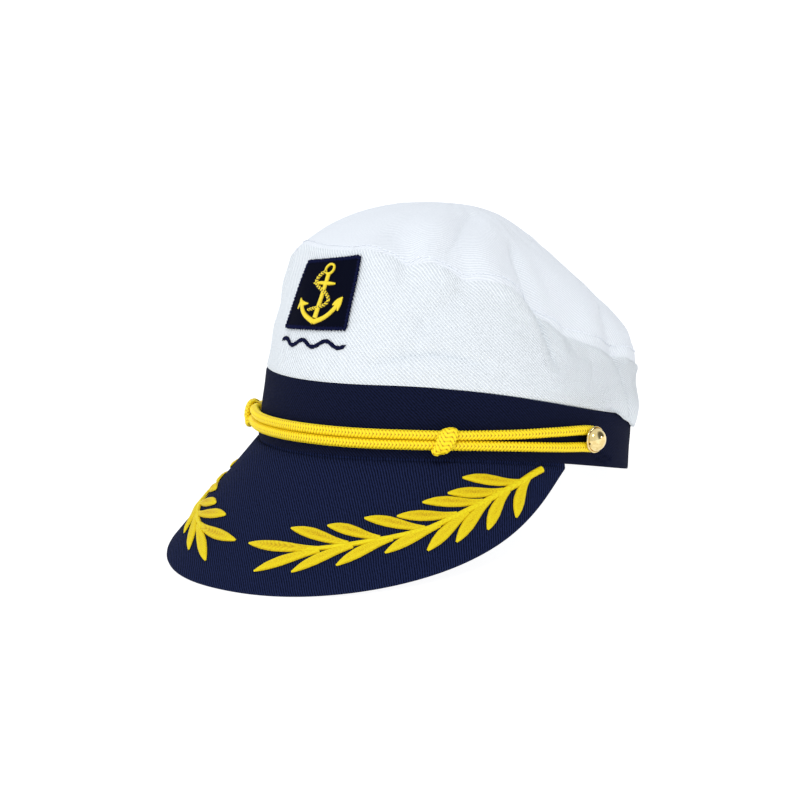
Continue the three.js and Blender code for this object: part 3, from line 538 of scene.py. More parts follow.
# %% Thread
def thread(name, stops, rough=0.5, gloss=0.5, mottle=0.12):
    """stops run from the top of a strand down into the painted shade of the gap beside it."""
    material, tree = new_material(name)
    painted_shade = add(tree, "Attribute", attribute_name="painted_shade").outputs["Fac"]
    cloth = add(tree, "UVMap", uv_map="cloth").outputs[0]
    speck = add(tree, "TexNoise", {"Vector": cloth, "Scale": 1.4, "Detail": 2.0}).outputs["Fac"]
    uneven = add(tree, "Math", {0: speck, 1: 0.5}, operation="SUBTRACT").outputs[0]
    # Painted shade from the stored number, with noise for an uneven thread tone.
    depth = add(tree, "Math", {0: uneven, 1: mottle * 4, 2: painted_shade}, operation="MULTIPLY_ADD").outputs[0]
    colour = ramp(tree, depth, stops)
    fibre = add(tree, "TexNoise", {"Vector": cloth, "Scale": 3.5, "Detail": 2.0}).outputs["Fac"]
    bump = add(tree, "Bump", {"Height": fibre, "Distance": 0.00012, "Strength": 0.8}).outputs[0]
    finish(tree, {"Base Color": colour, "Normal": bump}, Roughness=rough, Specular_IOR_Level=gloss)
    return material


# The darker stops of each thread are painted shade in the gaps between strands.
gold_braid = thread("gold_rayon_braid", [(0, "ffe81e"), (0.35, "f6d212"), (0.65, "bc850a"), (1, "2e1c04")],
                    gloss=0.3, mottle=0.1)
gold_satin = thread("gold_rayon_embroidery", [(0, "ead81c"), (0.4, "dabc10"), (0.75, "b08208"), (1, "6a4a06")],
                    rough=0.6, gloss=0.12, mottle=0.22)
anchor_satin = thread("yellow_rayon_embroidery", [(0, "f6e028"), (0.5, "e4c418"), (0.75, "76590c"), (1, "0c0a08")])
navy_satin = thread("navy_rayon_embroidery", [(0, "0d1238"), (0.5, "070b24"), (1, "020308")], rough=0.7, gloss=0.05)
patch_satin = thread("patch_rayon_field", [(0, "070a1e"), (0.5, "040612"), (1, "010205")], rough=0.75, gloss=0.03)
outline_satin = thread("black_rayon_outline", [(0.0, "06060c"), (1.0, "010103")], gloss=0.1)


def gold_metal():
    """Bright gold plate over stamped brass: fine wear in its roughness, hardly any in its colour."""
    material, tree = new_material("gold_plated_brass")
    place = add(tree, "TexCoord").outputs["Object"]
    wear = add(tree, "TexNoise", {"Vector": place, "Scale": 420.0, "Detail": 3.0}).outputs["Fac"]
    rough = add(tree, "MapRange", {"Value": wear, "To Min": 0.07, "To Max": 0.14}).outputs[0]
    colour = ramp(tree, wear, [(0.3, "dcc07c"), (0.7, "f2e0a6")])
    bump = add(tree, "Bump", {"Height": wear, "Distance": 0.00002, "Strength": 0.5}).outputs[0]
    finish(tree, {"Base Color": colour, "Roughness": rough, "Normal": bump}, Metallic=1.0)
    return material


gold_plate = gold_metal()
print("thread materials: 6, and one metal")

# %% [markdown]
# ## The crown's side panel
# One long strip of white twill. Its weave is measured round the band and up the panel. The lower edge
# is turned under, so the strip's wall is closed there with a small round.

# %% Side panel
AROUND = np.linspace(0, 360, 481)[:-1]
SEAM_TUCK, HEM_TUCK = 0.6, 0.45


def crown_normals(levels):
    deg, level = np.meshgrid(AROUND, levels)
    probe = np.where(level > 1, np.clip(level, 1.01, 1.93), np.clip(level, 0.02, 0.985))
    return normal_of(crown_cloth, deg, probe, 0.6, 0.006)


def round_cloth(levels, step):
    """UV for rows round the hat: millimetres round the band and up the cloth."""
    run = np.linspace(0, 2 * math.pi * math.sqrt(HALF_LENGTH * HALF_WIDTH), len(AROUND) + 1)
    u, v = np.meshgrid(run, np.asarray(levels) * step)
    return np.stack([u, v], -1)


side_levels = np.concatenate(
    [[0, 0.008, 0.02, 0.04, 0.065, 0.09], np.linspace(0.12, 0.94, 38), [0.96, 0.975, 0.99, 1]]
)
side_outer = crown_cloth(*np.meshgrid(AROUND, side_levels))
side_out = crown_normals(side_levels)
seam_tuck = SEAM_TUCK * np.exp(-((1 - side_levels) / 0.02) ** 2)[:, None, None]
hem_tuck = HEM_TUCK * np.exp(-(side_levels / 0.012) ** 2)[:, None, None]
side_outer = side_outer - side_out * (seam_tuck + hem_tuck)
side_inner = side_outer - side_out * CROWN_WALL
side_inner[0] = side_outer[0] - band_normal(AROUND) * CROWN_WALL
side_uv = round_cloth(side_levels, CROWN_FRONT_RISE)
make_piece(
    "crown_side_panel",
    [
        patch_of(side_outer, side_uv, True),
        patch_of(side_inner, side_uv, True, turned=True),
        edges_between(side_inner[0], side_outer[0], side_uv[0], side_uv[0], True),
        edges_between(side_outer[-1], side_inner[-1], side_uv[-1], side_uv[-1], True),
    ],
    white_side, ["crown_side"],
)

# %% [markdown]
# ## The crown's top panel
# One round piece of the same twill, cut flat, so its weave runs straight across it: its UV map lays
# each place as far from the middle as the cloth runs to it. It is sewn to the side panel, and the seam
# pulls its edge down into a groove.

# %% Top panel
top_levels = np.concatenate([[1, 1.008, 1.02, 1.04], np.linspace(1.065, 1.97, 44), [1.985, 1.9995]])
top_lift = GAP * smooth((top_levels - 1) / 0.05)[:, None, None]
top_outer = crown_cloth(*np.meshgrid(AROUND, top_levels)) + UP * top_lift
top_out = crown_normals(top_levels)
top_tuck = SEAM_TUCK * np.exp(-((top_levels - 1) / 0.02) ** 2)[:, None, None]
top_outer = top_outer - top_out * top_tuck
middle = top_outer[-1].mean(0)
top_outer[-1] = middle
top_inner = top_outer - top_out * CROWN_WALL
top_inner[-1] = middle - UP * CROWN_WALL
plain_top = crown_form(*np.meshgrid(AROUND, top_levels))
cloth_steps = np.linalg.norm(np.diff(plain_top, axis=0), axis=2)
cloth_run = np.concatenate([np.cumsum(cloth_steps[::-1], 0)[::-1], np.zeros((1, len(AROUND)))])
wide_uv = unit(plain_top[..., :2] - middle[:2]) * column(cloth_run)
wide_uv = np.concatenate([wide_uv, wide_uv[:, :1]], 1)
make_piece(
    "crown_top_panel",
    [
        patch_of(top_outer, wide_uv, True),
        patch_of(top_inner, wide_uv, True, turned=True),
        edges_between(top_inner[0], top_outer[0], wide_uv[0], wide_uv[0], True),
    ],
    white_top, ["crown_top"],
)

# %% [markdown]
# ## The band
# A stiffened strip of navy twill round the head, closed with small rounds at its top and rim. Beside
# each button the cloth is caught in a few short dents.

# %% Band
BAND_DENTS = [(100, 0.2, 107, 0.08), (103, 0.26, 110, 0.16), (-104, 0.22, -111, 0.1)]
DENT_DEPTH, DENT_WIDTH, RIPPLE_DEPTH = 1.2, 1.0, 0.12
band_shares = np.concatenate([[0, 0.015, 0.04], np.linspace(0.1, 0.9, 17), [0.96, 0.985, 1]])
band_deg, band_share = np.meshgrid(AROUND, band_shares)
band_round = 0.2 * np.exp(-((band_share / 0.02) ** 2)) + 0.4 * np.exp(-(((1 - band_share) / 0.02) ** 2))
ripple = RIPPLE_DEPTH * np.sin(band_deg * RAD * 9 + 2 * np.sin(band_share * 5)) * np.sin(np.pi * band_share)
for at_deg, at_share, to_deg, to_share in BAND_DENTS:
    run = np.array([(to_deg - at_deg) / DEG_PER_MM, (to_share - at_share) * BAND_FRONT_HEIGHT])
    here = np.stack([wrap(band_deg - at_deg) / DEG_PER_MM, (band_share - at_share) * BAND_FRONT_HEIGHT], -1)
    t = np.clip(here @ run / (run @ run), 0, 1)
    away = np.linalg.norm(here - column(t) * run, axis=-1)
    ripple -= DENT_DEPTH * np.exp(-((away / DENT_WIDTH) ** 2))
band_outer = band_point(band_deg, band_share * band_height(band_deg), ripple - band_round)
band_inner = band_point(band_deg, band_share * band_height(band_deg), band_round * 0.6 - BAND_WALL)
band_uv = round_cloth(band_shares, BAND_FRONT_HEIGHT)
make_piece(
    "band_cloth",
    [
        patch_of(band_outer, band_uv, True),
        patch_of(band_inner, band_uv, True, turned=True),
        edges_between(band_inner[0], band_outer[0], band_uv[0], band_uv[0], True),
        edges_between(band_outer[-1], band_inner[-1], band_uv[-1], band_uv[-1], True),
    ],
    navy_band, ["band"],
)

# %% [markdown]
# ## The visor
# Navy twill over board, wrapped round the edge, so the edge is a full round and not a corner. The cloth
# is cut flat in a crescent: its weave keeps one direction, which turns against the band as it goes round.
# Its root is drawn up under the band, with a narrow groove beside it.

# %% Visor
GROOVE_DEPTH, GROOVE_WIDTH, ROOT_UP, ROOT_IN = 1.1, 0.6, 0.9, 0.7
visor_deg = VISOR_END * np.sin(np.linspace(-65, 65, 161) * RAD) / math.sin(65 * RAD)
visor_shares = np.concatenate(
    [[0, 0.004, 0.008, 0.016], np.linspace(0.03, 0.9, 30), [0.93, 0.955, 0.975, 0.988, 0.996, 1.0]]
)
vd, vs = np.meshgrid(visor_deg, visor_shares)
edge_mm = (1 - vs) * visor_reach(vd)
half_wall = VISOR_WALL / 2
near_edge = 1 - np.clip(edge_mm / (half_wall * 1.3), 0, 1)
roll_in = half_wall * (1 - np.sqrt(np.clip(1 - near_edge**2, 0, 1)))
from_root = vs * visor_reach(vd)
groove = GROOVE_DEPTH * np.exp(-(((from_root - GROOVE_WIDTH) / GROOVE_WIDTH) ** 2)) * smooth(visor_reach(vd) / 12)
visor_top = visor_point(vd, vs, -roll_in - groove)
tucked = column(np.exp(-((from_root / 0.12) ** 2)))
visor_top = visor_top + tucked * (band_point(vd, ROOT_UP, -ROOT_IN) - visor_top)
visor_under = visor_point(vd, vs, roll_in - VISOR_WALL)
flat_turn, flat_far = 0.75 * vd * RAD, 122 + vs * visor_reach(vd)
visor_uv = np.stack([flat_far * np.sin(flat_turn), flat_far * np.cos(flat_turn)], -1)
make_piece(
    "visor_cloth",
    [
        patch_of(visor_top, visor_uv),
        patch_of(visor_under, visor_uv, turned=True),
        edges_between(visor_under[0], visor_top[0], visor_uv[0], visor_uv[0], False),
        edges_between(visor_top[:, 0], visor_under[:, 0], visor_uv[:, 0], visor_uv[:, 0], False),
        edges_between(visor_under[:, -1], visor_top[:, -1], visor_uv[:, -1], visor_uv[:, -1], False),
    ],
    navy_visor, ["visor"],
)

# %% [markdown]
# ## Frames along a path
# Cords and threads follow paths. At each step a path has a direction ahead, a direction out of the cloth
# and one across. A tube goes round all of it. A satin thread is a low dome over its width.

# %% Paths
def path_frame(points, outs, closed):
    if closed:
        ahead = unit(np.roll(points, -1, 0) - np.roll(points, 1, 0))
        steps = np.linalg.norm(np.roll(points, -1, 0) - points, axis=1)
        run = np.concatenate([[0], np.cumsum(steps)])
    else:
        ahead = unit(np.gradient(points, axis=0))
        run = np.concatenate([[0], np.cumsum(np.linalg.norm(np.diff(points, axis=0), axis=1))])
    out = unit(outs - ahead * column((outs * ahead).sum(-1)))
    return out, np.cross(ahead, out), run


def even_path(points, step, closed=False):
    """Where points a fixed step apart lie in the list, and a function that reads any list there."""
    marks = np.concatenate([points, points[:1]]) if closed else points
    run = np.concatenate([[0], np.cumsum(np.linalg.norm(np.diff(marks, axis=0), axis=1))])
    count = max(4, int(round(run[-1] / step)))
    at = np.interp(np.linspace(0, run[-1], count, endpoint=not closed), run, np.arange(len(marks)))
    low = np.minimum(at.astype(int), len(marks) - 2)
    part = column(at - low)
    return at, lambda values: values[low % len(values)] * (1 - part) + values[(low + 1) % len(values)] * part


# %% [markdown]
# ### The braid
# The cord is a round braid, just under 5 mm thick. Six columns of slanted stitches run along it, and each
# column slants the other way from its neighbours, which gives the rows of small arrows in the photograph.
# The small holes where two columns meet get the darkest painted shade, and the gaps between stitches are painted
# darker too.

# %% Braid
CORD_RADIUS, STITCH, COLUMNS = 2.3, 1.75, 6
STITCH_SLANT, STITCH_CREST, STITCH_SINK = 0.8, 1.05, 0.2


def braid(path, outs, closed, wide=CORD_RADIUS, high=CORD_RADIUS, turns=24, stitch=STITCH, columns=COLUMNS,
          round_ends=0.0, lay=1.0):
    """A braided tube. wide and high are its half sizes along the cloth and out of it, lay its direction."""
    out, across, run = path_frame(path, outs, closed)
    spin = np.arange(turns) / turns
    total = run[-1]
    pitch = total / max(1, round(total / stitch)) if closed else stitch
    s, a = np.meshgrid(run[: len(path)], spin, indexing="ij")
    place = a * columns + 0.5
    lane, share = np.floor(place), place - np.floor(place)
    slant = np.where(lane % 2 == 0, 1, -1) * (share - 0.5) * column(np.broadcast_to(lay, len(path)))
    beat = s / pitch + slant * STITCH_SLANT
    rib = np.abs(np.sin(np.pi * beat)) ** 0.7
    body = np.sin(np.pi * share) ** 0.6
    lump = rib * (0.8 + 0.2 * body)
    wide, high = (np.broadcast_to(size, len(path))[:, None] for size in (wide, high))
    scale = STITCH_CREST - STITCH_SINK * (1 - lump)
    if round_ends:
        from_end = np.clip(np.minimum(s, total - s) / round_ends, 0, 1)
        scale = scale * np.sqrt(np.clip(1 - (1 - from_end) ** 2, 0.0004, 1))
    x = column(np.cos(2 * np.pi * a) * wide * scale)
    y = column(np.sin(2 * np.pi * a) * high * scale)
    grid = path[:, None] + across[:, None] * x + out[:, None] * y
    # Painted shade: darker between stitches and where two columns meet.
    painted_shade = (1 - rib) * (1.25 - 0.65 * body)
    girth = 2 * np.pi * CORD_RADIUS
    if closed:
        grid, painted_shade = np.concatenate([grid, grid[:1]]), np.concatenate([painted_shade, painted_shade[:1]])
    long_uv, round_uv = np.meshgrid(run[: len(grid)], np.linspace(0, girth, turns + 1), indexing="ij")
    return patch_of(grid, np.stack([long_uv, round_uv], -1), True, painted_shade)


# %% [markdown]
# ## The cord
# Both strands and the turn round each button are one closed loop that lies on the band. It is held all
# the way between the buttons, so it is no free cord. It lifts a little where the knots go behind it.

# %% Cord
KNOT_DEG, KNOT_LENGTH, KNOT_WALL, KNOT_BACK, KNOT_ROOM, NUB_RADIUS = 48.5, 8.2, 3.2, 0.6, 0.4, 2.2
BUTTON_DEG, BUTTON_RADIUS, BUTTON_RISE, BUTTON_SHANK = 96.0, 6.5, 5.4, 1.5
CORD_DEG = [0, 32, 54, 70, 84, BUTTON_DEG]
CORD_FRONT_HEIGHT = 9.2
CORD_HEIGHT, CORD_SPREAD = [1.0, 0.96, 0.99, 1.09, 1.26, 1.42], [0, 0, 0, 0.3, 0.78, 1]
STRAND_HALF, TURN_RADIUS = CORD_RADIUS + 0.12, BUTTON_SHANK + GAP + CORD_RADIUS
PATH_STEP = 0.2


def cord_height(deg):
    return CORD_FRONT_HEIGHT * along(CORD_DEG, CORD_HEIGHT, deg)


def strand_half(deg):
    return STRAND_HALF + (TURN_RADIUS - STRAND_HALF) * along(CORD_DEG, CORD_SPREAD, deg)


def cord_lift(deg):
    away = np.abs(np.abs(deg) - KNOT_DEG) - DEG_PER_MM * 0.78 * KNOT_LENGTH
    return (KNOT_BACK + KNOT_ROOM) * (1 - smooth(away / (1.55 * KNOT_LENGTH * DEG_PER_MM)))


cord_deg, cord_high, cord_up, cord_lay = [], [], [], []
for way in (1, -1):
    run_deg = way * BUTTON_DEG * np.linspace(-1, 1, 361)
    cord_deg.append(run_deg)
    cord_high.append(cord_height(run_deg) - way * strand_half(run_deg))
    cord_up.append(cord_lift(run_deg))
    cord_lay.append(way + 0 * run_deg)
    arc = np.linspace(0, np.pi, 25)[1:-1]
    cord_deg.append(way * (BUTTON_DEG + DEG_PER_MM * np.sin(arc) * TURN_RADIUS))
    cord_high.append(cord_height(BUTTON_DEG) - way * TURN_RADIUS * np.cos(arc))
    cord_up.append(0 * arc)
    cord_lay.append(way * np.cos(arc))
cord_deg, cord_high, cord_up, cord_lay = map(np.concatenate, (cord_deg, cord_high, cord_up, cord_lay))
cord_path = band_point(cord_deg, cord_high, GAP + CORD_RADIUS + cord_up)
_, cord_even = even_path(cord_path, PATH_STEP, True)
cord_points, cord_outs = cord_even(cord_path), cord_even(band_normal(cord_deg))
make_piece(
    "cord_braid",
    [braid(cord_points, cord_outs, True, lay=cord_even(column(cord_lay))[:, 0])],
    gold_braid, ["gold_cord"], sharp=80,
)

# %% [markdown]
# ## The knots
# Each knot is a short piece of the same braid, wound round both strands on a slant: a broad turn, a
# narrower one beside it, and one end that stands out below as a small nub.

# %% Knots
WINDINGS = [(0.08, 0.38, 1.1, 0.0), (-0.26, 0.22, 0.8, 0.5)]
KNOT_STITCH = 1.9


def knot(side):
    """Each winding has its place along the cord, half width, height and turn."""
    middle = side * KNOT_DEG
    out = band_normal(middle)
    ahead = np.array([HALF_WIDTH * math.cos(middle * RAD), HALF_LENGTH * math.sin(middle * RAD), 0])
    back = unit(ahead) * side
    centre = band_point(middle, cord_height(middle), GAP + KNOT_BACK + KNOT_ROOM + CORD_RADIUS)

    def place(x, y, z):
        return centre + out * column(x) + UP * column(y) + back * column(z + 0.36 * y)

    patches = []
    a = np.linspace(0, 2 * np.pi, 181)[:-1]
    front = np.maximum(0, np.cos(a))
    for shift, share, full, turn in WINDINGS:
        thick = KNOT_BACK + (full * KNOT_WALL - KNOT_BACK) * front**0.7
        reach = thick / 2 + KNOT_ROOM * 0.6 + CORD_RADIUS
        x = np.cos(a) * reach
        y = np.sin(a) * reach + np.tanh(2.2 * np.sin(a)) * STRAND_HALF * 0.96
        path = place(x, y, KNOT_LENGTH * shift + turn * np.sin(a + 0.6))
        outs = out * column(np.cos(a)) + UP * column(np.sin(a))
        _, even = even_path(path, PATH_STEP, True)
        round_off = (1 - 0.45 * np.abs(np.sin(a)) ** 3) * (1 + 0.14 * np.sin(a))
        half_wide = KNOT_LENGTH * (share + 0.08 * front) * round_off
        wide, high = (even(column(part))[:, 0] for part in (half_wide, thick / 2))
        patches.append(
            braid(even(path), even(outs), True, wide=wide, high=high, turns=36, stitch=KNOT_STITCH, columns=8)
        )
    t = np.linspace(0, 1, 40)
    nub = place(
        CORD_RADIUS + 1.0 - 1.6 * t,
        -CORD_RADIUS - STRAND_HALF + 1.8 - 4.0 * t,
        -0.12 * KNOT_LENGTH - 0.22 * KNOT_LENGTH * t,
    )
    patches.append(
        braid(nub, np.broadcast_to(out, nub.shape), False, wide=1.1 * NUB_RADIUS, high=NUB_RADIUS,
              stitch=KNOT_STITCH, round_ends=1.9)
    )
    return patches


for word, side in (("left", 1), ("right", -1)):
    make_piece("knot_braid_" + word, knot(side), gold_braid, ["cord_knot_" + word], sharp=80)

# %% [markdown]
# ## The buttons
# A stamped dome button: a high dome with a small rolled lip, on a plain shank that the cord turns round.
# It is drawn as a profile and turned about its axis.

# %% Buttons
def turned_profile(profile, steps, foot, out):
    """A profile of radius and height, turned about the direction out at foot."""
    side_way = unit(np.cross(UP, out))
    up_way = np.cross(out, side_way)
    a = np.arange(steps) / steps * 2 * np.pi
    radius, height = np.array(profile, float).T
    grid = (
        foot
        + column(radius[:, None] * np.cos(a)) * side_way
        + column(radius[:, None] * np.sin(a)) * up_way
        + column(height[:, None] + 0 * a) * out
    )
    u, v = np.meshgrid(np.linspace(0, 2 * np.pi * BUTTON_RADIUS, steps + 1), height)
    return patch_of(grid, np.stack([u, v], -1), True)


under = 2 * GAP + 2 * CORD_RADIUS
lip = 0.55
bend = np.linspace(-90, 90, 9) * RAD
rolled = [(BUTTON_RADIUS - lip + lip * math.cos(t), under + lip + lip * math.sin(t)) for t in bend]
rise = np.linspace(0, 90, 26)[1:] * RAD
dome = [((BUTTON_RADIUS - 0.8) * math.cos(t), under + 0.8 + (BUTTON_RISE - 0.8) * math.sin(t)) for t in rise]
profile = [(0.001, GAP), (BUTTON_SHANK, GAP), (BUTTON_SHANK, under + 0.05)] + rolled
profile += [(BUTTON_RADIUS - 0.75, under + 0.8)] + dome[:-1] + [(0.001, under + BUTTON_RISE)]
for word, side in (("left", 1), ("right", -1)):
    foot = band_point(side * BUTTON_DEG, cord_height(BUTTON_DEG))
    make_piece(
        "button_dome_" + word,
        [turned_profile(profile, 96, foot, band_normal(side * BUTTON_DEG))],
        gold_plate, ["button_" + word], sharp=50,
    )

# %% [markdown]
# ## Satin thread
# Embroidery lays thread beside thread across a shape, which raises it into a low dome with fine lines
# over it. Real threads are 0.4 mm wide. At this picture's scale they would vanish, so they are drawn
# about 0.8 mm apart.

# %% Satin
def satin(path, outs, widths, height, closed=False, pitch=0.8, slant=0.35, cells=9, relief=0.1, depth=0.45,
          shade=None):
    """A raised thread along a path: across it a dome, with lines of thread that slant over it. Painted shade
    darkens the gaps between threads and the thread's edges.
    """
    out, across, run = path_frame(path, outs, closed)
    x = np.linspace(-1, 1, cells)
    s, cross = np.meshgrid(run[: len(path)], x, indexing="ij")
    wide = np.asarray(widths, float)[: len(path)] + 0 * run[: len(path)]
    line = 0.5 + 0.5 * np.cos(2 * np.pi * (s / pitch + slant * np.abs(cross)))
    dome_high = np.sqrt(np.clip(1 - cross**2, 0, 1)) ** 0.8
    full = np.clip(wide / wide.max() * 1.4, 0.35, 1)[:, None]
    lift = height * (0.12 + 0.88 * dome_high) * full - relief * (1 - line)
    # Painted shade: darker in the gaps between threads, at the edges, and where shade adds more.
    painted_shade = depth * (1 - line) ** 2 + 0.35 * np.abs(cross) ** 6
    if shade is not None:
        painted_shade = painted_shade + shade(s / run[-1], cross)
    grid = path[:, None] + across[:, None] * column(cross * wide[:, None] / 2) + out[:, None] * column(lift)
    low = path[:, None] + across[:, None] * column(cross * wide[:, None] / 2)
    uv = np.stack([s, cross * wide[:, None] / 2], -1)
    ends = []
    if closed:
        grid, low, painted_shade, uv = (np.concatenate([part, part[:1]]) for part in (grid, low, painted_shade, uv))
        uv[-1, :, 0] = run[-1]
    else:
        for k, turned in ((0, False), (-1, True)):
            ends.append(edges_between(low[k], grid[k], uv[k], uv[k], False, turned))
    sides = [
        edges_between(low[:, k], grid[:, k], uv[:, k], uv[:, k], False, turned)
        for k, turned in ((0, True), (-1, False))
    ]
    return [patch_of(grid, uv, painted_shade=painted_shade), patch_of(low, uv, turned=True)] + sides + ends


# %% [markdown]
# ## The laurel
# Two sprays lie on the visor, mirrored. A stem runs from its cut end near the ear towards the middle,
# and sixteen leaves grow from it. Painted shade makes their thread darker gold along the middle of each
# leaf, most on the upper ones. The table gives each leaf's foot and tip as angle and share of the visor,
# and its bow.

# %% Laurel
THREAD_RISE, LEAF_WIDTH, STEM_WIDTH, RIGHT_SPRAY_DEG = 1.0, 5.8, 3.4, 2.6
FOOT_BACK_DEG, THREAD_LINES = 2.2, dict(relief=0.07, depth=0.3)
LEAF_SHAPE = [(0, 0.15, 0.35, 0.55, 0.75, 0.88, 0.95, 1), (0.5, 0.64, 0.92, 1.03, 0.84, 0.55, 0.36, 0.14)]
STEM = [(79, 0.17), (71.8, 0.325), (65, 0.405), (58.8, 0.476), (53.3, 0.534), (47.7, 0.591), (41.7, 0.615),
        (34, 0.634), (26, 0.66), (19.4, 0.678)]
LEAVES = [
    (19.6, 0.678, 1.3, 0.671, 0.1), (26.8, 0.648, 12.0, 0.533, 0.3), (34.1, 0.622, 22.0, 0.503, 0.3),
    (44.3, 0.594, 31.0, 0.453, 0.3), (51.7, 0.535, 39.1, 0.455, 0.2), (58.3, 0.468, 44.8, 0.361, 0.27),
    (64.0, 0.402, 51.0, 0.304, 0.17), (69.2, 0.345, 54.6, 0.171, 0.25), (20.4, 0.688, 7.5, 0.852, 0.14),
    (28.2, 0.664, 17.7, 0.839, 0.14), (37.1, 0.634, 28.0, 0.797, 0.14), (47.7, 0.6, 38.4, 0.738, 0.14),
    (54.4, 0.54, 47.9, 0.784, 0.0), (59.9, 0.476, 54.3, 0.778, 0.0), (65.4, 0.42, 61.8, 0.771, 0.0),
    (71.8, 0.345, 69.5, 0.813, 0.0),
]


def on_visor(deg, out):
    return visor_point(deg, out, 1.5 * GAP), visor_normal(deg, out)


def laurel(side):
    # Painted shade along the middle of a leaf.
    def leaf_shade(share, cross):
        return 0.42 * np.sin(np.pi * share) ** 0.7 * np.exp(-((cross / 0.6) ** 2))

    def turned_to(deg):
        return deg if side > 0 else -deg - RIGHT_SPRAY_DEG

    patches, marks = [], np.array(STEM)
    t = np.linspace(0, 1, 64)
    body = np.interp(t, LEAF_SHAPE[0], LEAF_SHAPE[1])
    body = np.convolve(np.pad(body, 2, mode="edge"), np.full(5, 1 / 5), "valid")
    for k, (deg, out, tip_deg, tip_out, bow) in enumerate(LEAVES):
        bend_out = bow * LEAF_WIDTH * np.sin(np.pi * t) / visor_reach(deg)
        foot = np.interp([-deg, -deg - FOOT_BACK_DEG], -marks[:, 0], marks[:, 1])
        back = (1 - t) ** 4
        leaf_deg = deg + (tip_deg - deg) * t + FOOT_BACK_DEG * back
        leaf_out = out + (tip_out - out) * t - bend_out + (foot[1] - foot[0]) * back
        path, outs = on_visor(turned_to(leaf_deg), leaf_out)
        # The lower leaves get a weaker painted shade.
        upper = leaf_shade if k < 8 else (lambda share, cross: 0.55 * leaf_shade(share, cross))
        patches += satin(path, outs, LEAF_WIDTH * body, 1.2 * THREAD_RISE, slant=1.1 * side, cells=11, shade=upper,
                         **THREAD_LINES)
    fine = np.linspace(0, len(STEM) - 1, 200)
    stem_deg, stem_out = (np.interp(fine, np.arange(len(STEM)), marks[:, k]) for k in (0, 1))
    path, outs = on_visor(turned_to(stem_deg), stem_out)
    stem_wide = STEM_WIDTH * (1 - 0.035 * fine)
    patches += satin(path, outs, stem_wide, 1.25 * THREAD_RISE, slant=0.8 * side, **THREAD_LINES)
    return patches


for word, side in (("left", 1), ("right", -1)):
    make_piece("laurel_thread_" + word, laurel(side), gold_satin, ["laurel_" + word], weld=False)

# %% [markdown]
# ## The badge
# A navy patch is sewn on the crown's front with its corners a little askew. Its edge is bound with a
# thick row of stitches, and its field is filled with fine slanting thread. An anchor with a rope is
# worked on it in yellow, over a thin dark outline, and a wave line runs below it.

# %% Places on the front
PATCH_WIDTH, PATCH_HEIGHT, PATCH_BELOW_SEAM, PATCH_ACROSS = 45.5, 35.5, 4.2, -1.5
PATCH_TURN, PATCH_SKEW, PATCH_SPREAD, PATCH_THICK = 5.0, 0.19, 0.16, 0.9
FIELD_INSET, BORDER_WIDTH, BORDER_STEP = 2.0, 1.9, 0.16
WAVE_WIDTH, WAVE_LINE, WAVE_BELOW_PATCH, WAVE_ACROSS = 46.0, 2.0, 6.5, 0.3
ANCHOR_SIZE, ANCHOR_ACROSS = 30.0, 2.8


def front_spot(x, y, z=0.0):
    """x across, y up from the patch's middle, z off the cloth."""
    turn = PATCH_TURN * RAD
    wide, tall = x * (1 - PATCH_SPREAD * y / PATCH_HEIGHT), y * (1 + 0.5 * PATCH_SPREAD * x / PATCH_WIDTH)
    middle_up = CROWN_FRONT_RISE - PATCH_BELOW_SEAM - PATCH_HEIGHT / 2
    across = PATCH_ACROSS + wide * math.cos(turn) + tall * (PATCH_SKEW - math.sin(turn))
    level = (middle_up + x * math.sin(turn) + tall * math.cos(turn)) / CROWN_FRONT_RISE
    deg = across * DEG_PER_MM
    out = normal_of(crown_cloth, deg, np.clip(level, 0.02, 0.98), 2.0, 0.03)
    spot = crown_cloth(deg, level) + UP * column(0.9 * seam_sag(deg, level))
    return spot + out * column(1.3 * GAP + np.asarray(z, float) + 0 * deg), out


# %% [markdown]
# The patch's field is a thin slab filled with fine slanting thread. Its border is one satin row that
# runs round the edge, uneven in width as thread over a cut edge is.

# %% Patch
def patch_field():
    x, y = np.meshgrid(
        np.linspace(-0.5, 0.5, 110) * (PATCH_WIDTH - FIELD_INSET),
        np.linspace(-0.5, 0.5, 90) * (PATCH_HEIGHT - FIELD_INSET),
    )
    line = 0.5 + 0.5 * np.cos(2 * np.pi * (0.5 * x + y) / 1.0)
    top, _ = front_spot(x, y, PATCH_THICK - 0.12 + 0.1 * line)
    low, _ = front_spot(x, y, 0 * x)
    uv = np.stack([x, y], -1)
    # Painted shade in the gaps between the field's slanting threads.
    patches = [patch_of(top, uv, painted_shade=0.55 * (1 - line)), patch_of(low, uv, turned=True)]
    for k, turned in ((0, True), (-1, False)):
        patches.append(edges_between(top[k], low[k], uv[0], uv[0], False, turned))
    for k, turned in ((0, False), (-1, True)):
        patches.append(edges_between(top[:, k], low[:, k], uv[:, k], uv[:, k], False, turned))
    return patches


def patch_border():
    half_w, half_h, corner = PATCH_WIDTH / 2 - 0.9, PATCH_HEIGHT / 2 - 0.9, 0.8
    spots = []
    for cx, cy, start in ((1, -1, -90), (1, 1, 0), (-1, 1, 90), (-1, -1, 180)):
        for t in np.linspace(start, start + 90, 8) * RAD:
            x, y = cx * (half_w - corner), cy * (half_h - corner)
            spots.append((x + corner * math.cos(t), y + corner * math.sin(t)))
    spots = np.array(spots)
    _, even = even_path(spots, BORDER_STEP, True)
    xy = even(spots)
    path, outs = front_spot(xy[:, 0], xy[:, 1], PATCH_THICK - 0.35)
    run = BORDER_STEP * np.arange(len(xy))
    ragged = BORDER_WIDTH + 0.55 * np.sin(run * 3.6 + np.sin(run)) + 0.35 * np.sin(run * 7.1)
    return satin(path, outs, ragged, 0.75, closed=True, pitch=0.9, slant=0.2, relief=0.16, depth=0.5)


